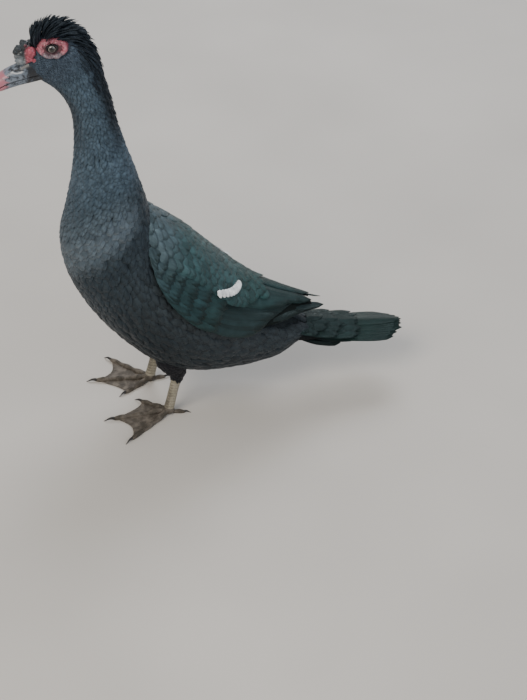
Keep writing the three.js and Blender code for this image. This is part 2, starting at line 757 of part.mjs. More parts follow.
function foot(leg) {
  const ankle = sphere(1, 9, 6);
  ankle.scale(...ankleSize);
  const pieces = [
    placed(ankle, leg.joint[0], leg.joint[1] - 1, 7.5),
    ...toes.map((toe) => toeSolid(leg, toe)),
    webSolid(leg, toes[0], toes[1]),
    webSolid(leg, toes[1], toes[2]),
  ];
  return joined(pieces).subtract(belowFloor).subtract(shank(leg, gap));
}

function claw(leg, toe) {
  const { ahead, aside } = toeFrame(leg, toe);
  const start = vec(leg.joint[0], leg.joint[1], 0).addScaledVector(ahead, toe.length + gap);
  const height = toe.tip * 0.88;
  const rings = [0, 0.35, 0.7, 1].map((t) => {
    const radius = toe.tip * lerp(0.8, 0.14, t);
    const at = start
      .clone()
      .addScaledVector(ahead, toe.claw * t)
      .setZ(height + 1.4 * Math.sin(Math.PI * Math.min(1, t * 1.2)) - (height - 0.3) * t * t);
    return Array.from({ length: 6 }, (_, k) => {
      const a = (2 * Math.PI * k) / 6;
      return at
        .clone()
        .addScaledVector(aside, radius * 0.75 * Math.cos(a))
        .add(vec(0, 0, radius * Math.sin(a)));
    });
  });
  return solidOf(loft(rings)).subtract(belowFloor);
}

// The nodes
addNode("torso", torso, "plumage");
addNode("neck", neck, "plumage");
addNode("head", head, "plumage");
const leftWing = wingFeathers.subtract(overMiddle);
addNode("wing_left", leftWing.subtract(torsoGrown), "wingFeather");
addNode("wing_right", mirrored(leftWing).subtract(torsoGrown), "wingFeather");
addNode("tail", tailSolid, "tailFeather");
addNode("eye_left", eyeBall(1), "eye");
addNode("eye_right", eyeBall(-1), "eye");
addNode("bill_upper", billUpper, "bill");
addNode("bill_lower", billLower, "bill");
addNode("caruncle_bill", knob, "caruncle");
addNode("caruncle_left", leftFace.subtract(besideFace), "caruncle");
addNode("caruncle_right", mirrored(leftFace).subtract(besideFace), "caruncle");
for (const [name, leg] of Object.entries(legs)) {
  addNode(`thigh_${name}`, thigh(leg), "plumage");
  addNode(`shank_${name}`, shank(leg), "leg");
  addNode(`foot_${name}`, foot(leg), "leg");
  for (const toe of toes) addNode(`claw_${name}_${toe.name}`, claw(leg, toe), "claw");
}

// The origin is under the middle of the whole bird, at floor level
duck.scale.setScalar(lifeSize);
const box = new THREE.Box3().setFromObject(duck);
const middle = box.getCenter(vec(0, 0, 0));
duck.position.set(-middle.x, -middle.y, -box.min.z);

export default duck;
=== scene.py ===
# A Muscovy drake, still and life size, dressed over its solid model
import math
import bpy
import numpy as np
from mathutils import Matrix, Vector


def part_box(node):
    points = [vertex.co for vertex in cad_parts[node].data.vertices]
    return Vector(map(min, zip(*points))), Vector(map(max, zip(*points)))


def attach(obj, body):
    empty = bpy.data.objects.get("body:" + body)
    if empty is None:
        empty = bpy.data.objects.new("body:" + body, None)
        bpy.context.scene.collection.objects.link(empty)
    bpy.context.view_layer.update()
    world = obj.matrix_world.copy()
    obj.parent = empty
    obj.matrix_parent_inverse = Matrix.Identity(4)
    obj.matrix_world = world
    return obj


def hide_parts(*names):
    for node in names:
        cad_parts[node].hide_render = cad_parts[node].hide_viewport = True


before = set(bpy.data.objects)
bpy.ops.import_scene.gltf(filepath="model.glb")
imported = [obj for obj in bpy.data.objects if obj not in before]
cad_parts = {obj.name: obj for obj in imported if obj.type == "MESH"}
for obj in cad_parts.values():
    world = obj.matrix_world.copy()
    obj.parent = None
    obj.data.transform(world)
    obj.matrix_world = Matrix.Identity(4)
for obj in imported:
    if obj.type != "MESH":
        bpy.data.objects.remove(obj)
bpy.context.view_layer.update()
dice = np.random.default_rng(11)
mm = 0.001
goldenAngle = math.radians(137.5)
# Shapes are drawn in metres, facing -Y with the left side at +X, then scaled by lifeSize and moved
lifeSize = 0.91  # from the drawing, 91 cm long stretched out, to a drake of 83 cm

# The eye is the landmark that ties the bird's own frame to the model's
eye = {"x": 20.5 * mm, "inset": 0.93, "y": -113 * mm, "z": 616 * mm, "radius": 6.2 * mm}
eyeLow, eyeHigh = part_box("eye_left")
ownEye = np.array([eye["x"] * eye["inset"], eye["y"], eye["z"]])
frameShift = (np.array(eyeLow) + np.array(eyeHigh)) / 2 - ownEye * lifeSize


# Plain tools: colour, nodes, meshes

def linearColour(hexText):  # sRGB hex to linear red, green, blue
    srgb = np.array([int(hexText[i:i + 2], 16) / 255 for i in (1, 3, 5)])
    return np.where(srgb <= 0.04045, srgb / 12.92, ((srgb + 0.055) / 1.055) ** 2.4)


def rgba(hexText):
    return (*linearColour(hexText), 1.0)


def addNode(tree, kind, settings=None, inputs=None):  # a node, its settings, and its sockets' values or links
    node = tree.nodes.new(kind)
    for key, value in (settings or {}).items():
        setattr(node, key, value)
    for key, value in (inputs or {}).items():
        if isinstance(value, bpy.types.NodeSocket):
            tree.links.new(value, node.inputs[key])
        else:
            node.inputs[key].default_value = value
    return node


def newMaterial(name, shaderInputs):
    material = bpy.data.materials.new(name)
    material.use_nodes = True
    tree = material.node_tree
    tree.nodes.clear()
    shader = addNode(tree, "ShaderNodeBsdfPrincipled", inputs=shaderInputs)
    output = addNode(tree, "ShaderNodeOutputMaterial")
    tree.links.new(shader.outputs["BSDF"], output.inputs["Surface"])
    return material, tree, shader


def colourRamp(tree, factor, stops):  # stops: position and hex colour, or position and grey value
    ramp = addNode(tree, "ShaderNodeValToRGB", inputs={"Fac": factor})
    elements = ramp.color_ramp.elements
    while len(elements) < len(stops):
        elements.new(0.5)
    for element, (position, colour) in zip(elements, stops):
        element.position = position
        element.color = rgba(colour) if isinstance(colour, str) else (colour, colour, colour, 1)
    return ramp.outputs["Color"]


def mathNode(tree, operation, *values):
    return addNode(tree, "ShaderNodeMath", {"operation": operation}, dict(enumerate(values))).outputs[0]


def stored(tree, name, output="Fac"):  # a value or a colour that the mesh's points carry
    return addNode(tree, "ShaderNodeAttribute", {"attribute_name": name}).outputs[output]


def objectPlace(tree, size):  # the inputs of a texture whose grain is size millimetres wide
    place = addNode(tree, "ShaderNodeTexCoord")
    return {"Vector": place.outputs["Object"], "Scale": 1 / (size * mm)}


def noise(tree, size, detail, **more):
    inputs = {**objectPlace(tree, size), "Detail": detail, **more}
    return addNode(tree, "ShaderNodeTexNoise", inputs=inputs).outputs["Fac"]


def brightness(tree, value, low, high):  # spreads the middle of the noise over a range
    return addNode(tree, "ShaderNodeMapRange", inputs={
        "Value": value, "From Min": 0.3, "From Max": 0.7, "To Min": low, "To Max": high}).outputs[0]


def scaledColour(tree, colour, factor):
    return addNode(tree, "ShaderNodeVectorMath", {"operation": "SCALE"},
                   {"Vector": colour, "Scale": factor}).outputs[0]


def mixedColour(tree, amount, first, second):
    return addNode(tree, "ShaderNodeMix", {"data_type": "RGBA"}, {0: amount, 6: first, 7: second}).outputs[2]


def surfaceOf(tree, shader, colour, bump=None):  # bump: its strength, its distance in millimetres, its height
    tree.links.new(colour, shader.inputs["Base Color"])
    if bump:
        strength, distance, height = bump
        node = addNode(tree, "ShaderNodeBump", inputs={
            "Strength": strength, "Distance": distance * mm, "Height": height})
        tree.links.new(node.outputs["Normal"], shader.inputs["Normal"])


def facesOutward(points, faceSets):
    # six times the enclosed volume: each face adds its fan of corner-by-corner triple products
    volume = 0.0
    for faces in faceSets:
        for i in range(1, faces.shape[1] - 1):
            a, b, c = points[faces[:, 0]], points[faces[:, i]], points[faces[:, i + 1]]
            volume += np.sum(a * np.cross(b, c))
    return faceSets if volume > 0 else [faces[:, ::-1] for faces in faceSets]


def newPiece(name, points, faceSets, material, replaced=(), uvs=None, tints=None, values=None):
    # points: n by 3 in the drawing; faceSets: arrays of quads or other faces of point numbers
    mesh = bpy.data.meshes.new(name)
    points = np.asarray(points, float).reshape(-1, 3) * lifeSize + frameShift
    faceSets = facesOutward(points - points.mean(axis=0), faceSets)
    corners = np.concatenate([faces.ravel() for faces in faceSets])
    sizes = np.concatenate([np.full(len(faces), faces.shape[1]) for faces in faceSets])
    starts = np.concatenate([[0], np.cumsum(sizes)[:-1]])
    mesh.vertices.add(len(points))
    mesh.vertices.foreach_set("co", points.ravel())
    mesh.loops.add(len(corners))
    mesh.loops.foreach_set("vertex_index", corners.astype(np.int32))
    mesh.polygons.add(len(sizes))
    mesh.polygons.foreach_set("loop_start", starts.astype(np.int32))
    for uvName, uv in (uvs or {}).items():
        layer = mesh.uv_layers.new(name=uvName)
        layer.uv.foreach_set("vector", uv.reshape(-1, 2)[corners].ravel().astype(np.float32))
    if tints is not None:
        attribute = mesh.attributes.new("tint", "FLOAT_COLOR", "POINT")
        whole = np.concatenate([tints.reshape(-1, 3), np.ones((len(points), 1))], axis=1)
        attribute.data.foreach_set("color", whole.ravel())
    for valueName, value in (values or {}).items():
        attribute = mesh.attributes.new(valueName, "FLOAT", "POINT")
        attribute.data.foreach_set("value", np.asarray(value, float).ravel())
    mesh.polygons.foreach_set("use_smooth", np.ones(len(sizes), bool))
    mesh.update(calc_edges=True)
    mesh.validate()
    mesh.materials.append(material)
    piece = bpy.data.objects.new(name, mesh)
    bpy.context.scene.collection.objects.link(piece)
    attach(piece, "root")
    if replaced:
        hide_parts(*replaced)
    return piece


def gridFaces(rows, columns, closed=False):
    # quads between neighbouring rows of points; closed joins the last column to the first
    across = columns if closed else columns - 1
    r, c = np.meshgrid(np.arange(rows - 1), np.arange(across), indexing="ij")
    n = (c + 1) % columns
    quads = [r * columns + c, r * columns + n, (r + 1) * columns + n, (r + 1) * columns + c]
    return np.stack(quads, axis=-1).reshape(-1, 4)


def tubeFaces(rows, columns):  # closed rings of points with a flat lid at each end
    ends = np.stack([np.arange(columns)[::-1], np.arange(columns) + (rows - 1) * columns])
    return [gridFaces(rows, columns, closed=True), ends]


def blend(first, second, amount):
    return first + (second - first) * np.asarray(amount)[..., None]


def unit(v):
    return v / np.maximum(np.linalg.norm(v, axis=-1, keepdims=True), 1e-12)


def smoothStep(low, high, x):
    t = np.clip((x - low) / (high - low), 0, 1)
    return t * t * (3 - 2 * t)


def roundTurn(columns):  # the angles of one full turn, across
    return np.linspace(0, 2 * np.pi, columns, endpoint=False)[None, :]


def moved(start, *parts):  # start, moved along each way by its amounts
    for way, amount in parts:
        start = start + way * np.asarray(amount)[..., None]
    return start


def backAngle(angle):  # degrees from the middle of the back, to either side
    return np.abs((angle + 180) % 360 - 180)


def onUnwrap(rows, degrees):  # a place on the skin's unwrap, which is 24 rows of sections wide
    homes = np.broadcast_arrays(0.02 + 0.96 * rows / 24, 0.02 + 0.96 * (degrees % 360) / 360)
    return np.stack(homes, axis=-1)


# The body: a run of sections from the tail, round the breast and up the neck to the forehead

# each row: back y and z, underside y and z, half width, in millimetres
bodyTable = mm * np.array([
    [226, 128, 226, 92, 33], [190, 152, 190, 71, 52], [152, 184, 150, 62, 64], [118, 218, 108, 62, 79],
    [86, 252, 66, 66, 91], [58, 282, 26, 77, 97], [32, 306, -10, 99, 99], [14, 325, -46, 134, 96],
    [6, 342, -78, 174, 91], [2, 357, -104, 218, 80], [-1, 372, -122, 266, 68], [-6, 392, -126, 318, 56],
    [-13, 418, -113, 368, 44], [-22, 449, -99, 424, 34], [-32, 484, -93, 470, 27], [-39, 520, -93, 509, 25],
    [-47, 556, -102, 536, 25], [-56, 586, -114, 552, 24], [-68, 611, -125, 561, 23],
    [-85, 627, -132, 566, 22], [-105, 633, -138, 569, 20.5], [-123, 627, -143, 573, 18],
    [-137, 611, -146, 579, 14],
], float)
# The folded wing's outer face, with the degrees from the back where it starts and ends
wingTable = mm * np.array([
    [4, 348, -66, 166, 88], [18, 334, -40, 132, 104], [38, 317, -8, 104, 110], [64, 294, 28, 82, 111],
    [92, 264, 64, 70, 106], [123, 233, 104, 64, 95], [155, 206, 146, 62, 80], [187, 187, 184, 68, 64],
    [218, 172, 218, 92, 47], [248, 160, 248, 112, 32], [270, 154, 270, 122, 23],
], float)
wingEdges = np.array([
    [30, 48], [18, 64], [12, 72], [9, 75], [7, 75], [6, 73], [6, 69], [7, 63], [9, 57], [16, 51], [24, 45],
], float)


def throughTable(table, s):
    # Catmull-Rom curve through the rows of a table at places s, straight past its ends
    padded = np.vstack([2 * table[0] - table[1], table, 2 * table[-1] - table[-2]])
    i = np.clip(np.floor(s).astype(int), 0, len(table) - 2)
    t = (s - i)[..., None]
    a, b, c, d = (padded[i + k] for k in range(4))
    square, cube = 2 * a - 5 * b + 4 * c - d, 3 * b - a - 3 * c + d
    return 0.5 * (2 * b + (c - a) * t + square * t ** 2 + cube * t ** 3)


def sectionPoint(table, s, angle):
    # ellipse between the back and underside points of section s; angle is in degrees down from the back
    row = throughTable(table, s)
    middle = (row[..., 0:2] + row[..., 2:4]) / 2
    rise = (row[..., 0:2] - row[..., 2:4]) / 2
    a = np.radians(angle)
    return np.stack([row[..., 4] * np.sin(a), middle[..., 0] + rise[..., 0] * np.cos(a),
                     middle[..., 1] + rise[..., 1] * np.cos(a)], axis=-1)


def surfaceFrame(table, s, angle):
    # point, outward normal, and metres of surface for one section and for one degree
    s, angle = np.broadcast_arrays(np.asarray(s, float), np.asarray(angle, float))
    stepS, stepA = 0.02, 0.5
    along = (sectionPoint(table, s + stepS, angle) - sectionPoint(table, s - stepS, angle)) / (2 * stepS)
    around = (sectionPoint(table, s, angle + stepA) - sectionPoint(table, s, angle - stepA)) / (2 * stepA)
    point = sectionPoint(table, s, angle)
    row = throughTable(table, s)
    middle = np.stack([0 * s, (row[..., 0] + row[..., 2]) / 2, (row[..., 1] + row[..., 3]) / 2], axis=-1)
    normal = unit(np.cross(around, along))
    inward = np.sum(normal * (point - middle), axis=-1, keepdims=True) < 0
    normal = np.where(inward, -normal, normal)
    return point, normal, np.linalg.norm(along, axis=-1), np.linalg.norm(around, axis=-1)


def onSurface(table, s, angle, lift):
    point, normal, _, _ = surfaceFrame(table, s, angle)
    return point + normal * np.asarray(lift)[..., None]


print("frame and body curves ready")


# Vanes: every feather is a thin closed leaf that follows the surface it lies on

def bladeWidth(t, tipRound):  # narrow at the root, widest past the middle, rounded at the tip
    root = 0.5 + 0.5 * smoothStep(0, 0.45, t)
    tip = np.sqrt(np.maximum(1 - np.clip((t - 0.45) / 0.55, 0, 1) ** tipRound, 0.004))
    return root * tip


def featherPiece(name, layout, material, replaced=()):
    # each vane has a cambered top and a flat underside; place takes t, across and lift to points
    n, steps, columns = layout["count"], layout["steps"], layout["columns"]

    def each(key):  # one value for each feather
        return np.broadcast_to(layout[key], n)[:, None, None]
    t = np.linspace(0, 1, steps)[None, :, None]
    u = np.linspace(-1, 1, columns)[None, None, :]
    wide = each("width") / 2 * bladeWidth(t, layout["tipRound"])
    rise = each("rootLift") + (each("tipLift") - each("rootLift")) * t ** 0.7
    camber = layout["camber"] * wide * (1 - u ** 2)
    tilt = each("tilt") * u * wide
    top = layout["place"](t, wide * u, rise + camber + tilt)
    under = layout["place"](t, (wide * u)[:, :, [0, -1]], (rise + tilt)[:, :, [0, -1]] - layout["thick"])
    points = np.concatenate([top, under], axis=2)
    ring = columns + 2
    shape = (n, steps, ring)
    base = (np.arange(n) * steps * ring)[:, None, None]
    rows = np.arange(steps - 1)[None, :, None]
    order = np.concatenate([np.arange(columns), [columns + 1, columns]])
    following = np.roll(order, -1)
    quads = np.stack(np.broadcast_arrays(
        base + rows * ring + order, base + rows * ring + following,
        base + (rows + 1) * ring + following, base + (rows + 1) * ring + order), axis=-1).reshape(-1, 4)
    caps = np.concatenate([base[:, 0] + order[::-1], base[:, 0] + (steps - 1) * ring + order])
    across = np.concatenate([u[0, 0], [-1, 1]]) / 2 + 0.5
    vaneUv = np.stack([np.broadcast_to(across, shape), np.broadcast_to(t, shape)], axis=-1)
    patch = 0.003  # how wide a feather's patch of the unwrap is
    bakeUv = layout["home"][:, None, None, :] + patch * (vaneUv - 0.5)
    tints = np.broadcast_to(np.broadcast_to(layout["tint"], (n, 3))[:, None, None, :], (*shape, 3))
    values = {"rim": np.broadcast_to(each("rim"), shape),
              "shade": np.broadcast_to(dice.random(n)[:, None, None], shape)}
    print(name, n, "vanes,", len(quads) * 2 + len(caps) * (ring - 2), "triangles")
    return newPiece(name, points, [quads, caps], material, replaced,
                    {"vane": vaneUv, "OFBake": bakeUv}, tints, values)


def rootLines(table, reach, angles, step):
    # roots at equal steps of length along lines of equal angle, every second line half a step on
    fine = np.linspace(*reach, 200)
    roots = []
    for i, angle in angles:
        length = surfaceFrame(table, fine, np.full(len(fine), angle))[2] * (fine[1] - fine[0])
        along = np.concatenate([[0], np.cumsum(length)[:-1]])
        places = np.arange((i % 2) * step / 2, along[-1], step)
        roots.append(np.stack([np.interp(places, along, fine), np.full(len(places), angle)], axis=1))
    return np.concatenate(roots)


def bodyRows(fromS, toS, step, spacing, skip=None):
    girth = np.sum(surfaceFrame(bodyTable, np.full(360, (fromS + toS) / 2), np.arange(360.0))[3])
    lines = int(round(girth / spacing))
    roots = rootLines(bodyTable, (fromS, toS), [(i, 360 * i / lines) for i in range(lines)], step)
    jitter, sectionLength = 0.12, 0.02  # a share of the spacing; about how many metres a section has
    roots[:, 1] += dice.normal(0, jitter, len(roots)) * 360 / lines
    roots[:, 0] += dice.normal(0, jitter, len(roots)) * step / 2 / sectionLength
    return roots if skip is None else roots[~skip(roots[:, 0], roots[:, 1])]


def lyingOn(table, roots, length, swing, heading=-1):
    # from each root towards the tail, turned by swing degrees; heading says how the sections run there
    s0, a0 = roots[:, 0, None, None], roots[:, 1, None, None]
    _, _, perSection, perDegree = surfaceFrame(table, s0, a0)
    swing = np.radians(swing)[:, None, None]

    def place(t, across, lift):
        along = length[:, None, None] * t
        s = s0 + heading * (along * np.cos(swing) - across * np.sin(swing)) / perSection
        angle = a0 + (along * np.sin(swing) + across * np.cos(swing)) / perDegree
        return onSurface(table, s, angle, np.broadcast_to(lift, angle.shape))
    return place


# Materials

def featherMaterial(name, finish):
    # fine barbs run out from the shaft at a slant, and what glints off them has the gloss colour
    material, tree, shader = newMaterial(name, {
        "Roughness": finish["roughness"], "Specular Tint": rgba(finish["gloss"]),
        "Specular IOR Level": finish["specular"], "Sheen Weight": finish["sheen"],
        "Sheen Tint": rgba(finish["sheenTint"]), "Sheen Roughness": 0.4, "IOR": 1.55})
    uv = addNode(tree, "ShaderNodeUVMap", {"uv_map": "vane"})
    split = addNode(tree, "ShaderNodeSeparateXYZ", inputs={"Vector": uv.outputs["UV"]})
    alongVane = split.outputs["Y"]
    side = mathNode(tree, "ABSOLUTE", mathNode(tree, "SUBTRACT", split.outputs["X"], 0.5))
    slant = mathNode(tree, "MULTIPLY_ADD", side, -finish["slant"], alongVane)
    wave = mathNode(tree, "SINE", mathNode(tree, "MULTIPLY", slant, finish["barbs"] * 2 * math.pi))
    # each feather is a little lighter or darker, with a worn mottle
    vary = addNode(tree, "ShaderNodeMapRange", inputs={
        "Value": stored(tree, "shade"), "To Min": 1 - finish["vary"], "To Max": 1 + finish["vary"]})
    worn = brightness(tree, noise(tree, finish["mottle"], 4.0), 0.75, 1.3)
    light = mathNode(tree, "MULTIPLY", vary.outputs[0], worn)
    base = scaledColour(tree, stored(tree, "tint", "Color"), light)
    # the shaft is a thin line down the middle, the rim a band at the tip
    shaft = colourRamp(tree, side, [(0.0, finish["shaft"]), (0.035, 0.0)])
    tipBand = mathNode(tree, "MULTIPLY_ADD", side, finish["rimCurve"], alongVane)
    band = colourRamp(tree, tipBand, [(finish["rimStart"], 0.0), (finish["rimStart"] + 0.1, 1.0)])
    rim = mathNode(tree, "MULTIPLY", band, stored(tree, "rim"))
    withShaft = mixedColour(tree, shaft, base, rgba(finish["shaftColour"]))
    withRim = mixedColour(tree, rim, withShaft, rgba(finish["rimColour"]))
    surfaceOf(tree, shader, withRim, (finish["bump"], 0.25, wave))
    return material


bodyFinish = {"roughness": 0.5, "gloss": "#b4bcc8", "specular": 0.34, "sheen": 0.06, "sheenTint": "#9aa3b8",
              "slant": 1.2, "barbs": 12, "mottle": 9, "vary": 0.18, "shaft": 0.0, "shaftColour": "#2b2c30",
              "rimCurve": 0.35, "rimStart": 0.9, "rimColour": "#565c60", "bump": 0.35}
neckFinish = {**bodyFinish, "roughness": 0.58, "gloss": "#aebfca", "sheen": 0.14, "mottle": 7, "barbs": 6}
breastFinish = {**bodyFinish, "rimColour": "#8b9296", "rimStart": 0.84, "rimCurve": 0.5}
wingFinish = {**bodyFinish, "roughness": 0.36, "gloss": "#a9c9c4", "specular": 0.5, "sheen": 0.02,
              "sheenTint": "#3f8a74", "slant": 1.6, "barbs": 26, "mottle": 14, "vary": 0.22,
              "shaft": 0.35, "shaftColour": "#0b1210", "rimStart": 0.86, "rimCurve": 0.5,
              "rimColour": "#070c0d", "bump": 0.5}
tailFinish = {**wingFinish, "roughness": 0.4, "barbs": 60, "gloss": "#a3ccc6"}
whiteFinish = {**bodyFinish, "gloss": "#ffffff", "specular": 0.3, "sheen": 0.1, "sheenTint": "#ffffff",
               "vary": 0.06, "barbs": 16, "rimColour": "#b9bdbb", "shaft": 0.2, "shaftColour": "#a9adab"}
plumage = {
    "body": featherMaterial("glossyBodyFeather", bodyFinish),
    "neck": featherMaterial("softNeckFeather", neckFinish),
    "breast": featherMaterial("scallopedBreastFeather", breastFinish),
    "wing": featherMaterial("bottleGreenWingFeather", wingFinish),
    "tail": featherMaterial("darkTealTailFeather", tailFinish),
    "white": featherMaterial("whiteFeather", whiteFinish),
}


def skinMaterial():
    # dark skin and down under the feathers, seen only between them
    material, tree, shader = newMaterial("darkDownySkin", {"Roughness": 0.85, "Specular IOR Level": 0.2})
    down = noise(tree, 2.5, 5.0)
    base = scaledColour(tree, stored(tree, "tint", "Color"), brightness(tree, down, 0.5, 1.3))
    surfaceOf(tree, shader, base, (0.5, 0.4, down))
    return material


# Body colours, shared by skin and coat: colour by the place on the body (s, degrees from the back); the
# lighter slate of the neck, throat and head is partly painted sheen over the feathers' own dark colour
plumageAndSheen = {"belly": "#1a2225", "flank": "#2f3639", "breast": "#2a343a", "neck": "#4b5b67", "head": "#485460",
         "nape": "#1a2026", "throat": "#38424a"}


def bodyTint(s, angle):
    s, angle = np.broadcast_arrays(np.asarray(s, float), np.asarray(angle, float))
    fromBack = backAngle(angle)
    upNeck = smoothStep(13, 15, s)
    tint = blend(linearColour(plumageAndSheen["flank"]), linearColour(plumageAndSheen["belly"]), smoothStep(70, 140, fromBack))
    # the neck, throat and head colours are lighter partly as painted sheen
    for name, amount in (("breast", smoothStep(7, 10, s)), ("neck", smoothStep(11, 13, s)),
                         ("nape", upNeck * smoothStep(80, 30, fromBack)),
                         ("throat", upNeck * smoothStep(110, 160, fromBack)),
                         ("head", smoothStep(16.5, 18.5, s))):
        tint = blend(tint, linearColour(plumageAndSheen[name]), amount)
    return tint


# Skin: one closed surface from rump to forehead, under the coat

skinSize = {"along": 240, "around": 96, "depth": 2.2 * mm, "capRows": 10}


def makeSkin():
    # body sections set in by the coat's depth, closed at each end by a quarter-round cap
    last = len(bodyTable) - 1
    s = np.linspace(0, last, skinSize["along"])[:, None]
    angle = np.linspace(0, 360, skinSize["around"], endpoint=False)[None, :]
    depth = skinSize["depth"] * (1 - 0.6 * smoothStep(16, 19, s)) + 0 * angle
    rings = onSurface(bodyTable, s, angle, -depth)
    cap = np.linspace(0, np.pi / 2, skinSize["capRows"] + 1)[1:]
    ends = []
    for ring, inner in ((rings[0], rings[1]), (rings[-1], rings[-2])):
        centre = ring.mean(axis=0)
        outward = unit(centre - inner.mean(axis=0))
        reach = 0.5 * np.linalg.norm(ring - centre, axis=1).min()
        shrunk = centre + (ring - centre) * np.maximum(np.cos(cap), 0.01)[:, None, None]
        ends.append(shrunk + outward * reach * np.sin(cap)[:, None, None])
    points = np.concatenate([ends[0][::-1], rings, ends[1]])
    sAll = np.concatenate([np.full(len(cap), 0.0), s[:, 0], np.full(len(cap), float(last))])[:, None]
    tints = bodyTint(sAll, angle) * 0.7
    homes = onUnwrap(sAll + 1, angle)
    newPiece("skin", points, tubeFaces(*points.shape[:2]), skinMaterial(),
             ("torso", "neck", "head"), {"OFBake": homes}, tints)


makeSkin()
print("skin made")


# Body coat, region by region, with sizes in millimetres

wingCover = {"front": 7.9, "margin": 6}


def underWing(s, angle):
    fromBack = backAngle(angle)
    k = np.clip(8 - s, 0, 10)
    top = np.interp(k, np.arange(11), wingEdges[:, 0]) + wingCover["margin"]
    low = np.interp(k, np.arange(11), wingEdges[:, 1]) - wingCover["margin"]
    return (s < wingCover["front"]) & (fromBack > top) & (fromBack < low)


def faceBare(s, angle):
    # the bare caruncled skin round the eyes and over the bill's base
    point = sectionPoint(bodyTable, s, angle)
    aside = (point[..., 1] - (eye["y"] + 2 * mm)) / (20 * mm)
    up = (point[..., 2] - (eye["z"] - 1 * mm)) / (12.5 * mm)
    return (aside ** 2 + up ** 2 < 1) | (s > 21.5)


coatRegions = [
    {"name": "coatBody", "from": -0.3, "to": 8.4, "length": 27, "width": 19, "step": 9, "spacing": 12,
     "tip": 1.0, "material": "body", "skip": underWing, "steps": 6, "rim": 0.1},
    {"name": "coatBreast", "from": 8.4, "to": 11.2, "length": 20, "width": 15, "step": 6.5, "spacing": 9,
     "tip": 1.1, "material": "breast", "skip": None, "steps": 6, "rim": 0.3},
    {"name": "coatLowerNeck", "from": 11.2, "to": 13.4, "length": 15, "width": 10, "step": 4.6, "spacing": 6,
     "tip": 1.3, "material": "neck", "skip": None, "steps": 5, "rim": 0.5},
    {"name": "coatNeck", "from": 13.4, "to": 17.2, "length": 12, "width": 5.5, "step": 3.6, "spacing": 3.8,
     "tip": 1.5, "material": "neck", "skip": None, "steps": 5, "rim": 0.3},
    {"name": "coatHead", "from": 17.0, "to": 21.9, "length": 7, "width": 3.2, "step": 2.2, "spacing": 2.3,
     "tip": 0.8, "material": "neck", "skip": faceBare, "steps": 4, "rim": 0.1},
]


def makeCoat(region):
    roots = bodyRows(region["from"], region["to"], region["step"] * mm, region["spacing"] * mm,
                     region["skip"])
    n = len(roots)
    s, fromBack = roots[:, 0], backAngle(roots[:, 1])
    length = region["length"] * mm * dice.uniform(0.85, 1.15, n)
    # the loose mane down the nape
    ragged = 0.45 * smoothStep(13.5, 15.5, s) * smoothStep(40, 10, fromBack)
    length = length * (1 + 0.5 * ragged)
    # the pale scalloped band across the lower neck
    band = smoothStep(9.9, 10.8, s) * smoothStep(12.4, 11.2, s) * smoothStep(25, 60, fromBack)
    tipLift = region["tip"] * mm * dice.uniform(0.5, 1.4, n) + ragged * mm * dice.uniform(0.5, 6, n)
    featherPiece(region["name"], {
        "count": n, "steps": region["steps"], "columns": 3, "tipRound": 2.6, "camber": 0.11,
        "width": region["width"] * mm * dice.uniform(0.88, 1.12, n), "tipLift": tipLift,
        "rootLift": -skinSize["depth"] - 0.4 * mm, "thick": 0.15 * mm, "tilt": dice.normal(0, 0.04, n),
        "place": lyingOn(bodyTable, roots, length, dice.normal(0, 7, n)),
        "home": onUnwrap(roots[:, 0] + 1, roots[:, 1]),
        "tint": blend(bodyTint(s, roots[:, 1]), linearColour("#62707a"), 0.6 * band),
        "rim": region["rim"] * dice.uniform(0.3, 1, n) * (0.12 + 0.88 * band),
    }, plumage[region["material"]])


for region in coatRegions:
    makeCoat(region)
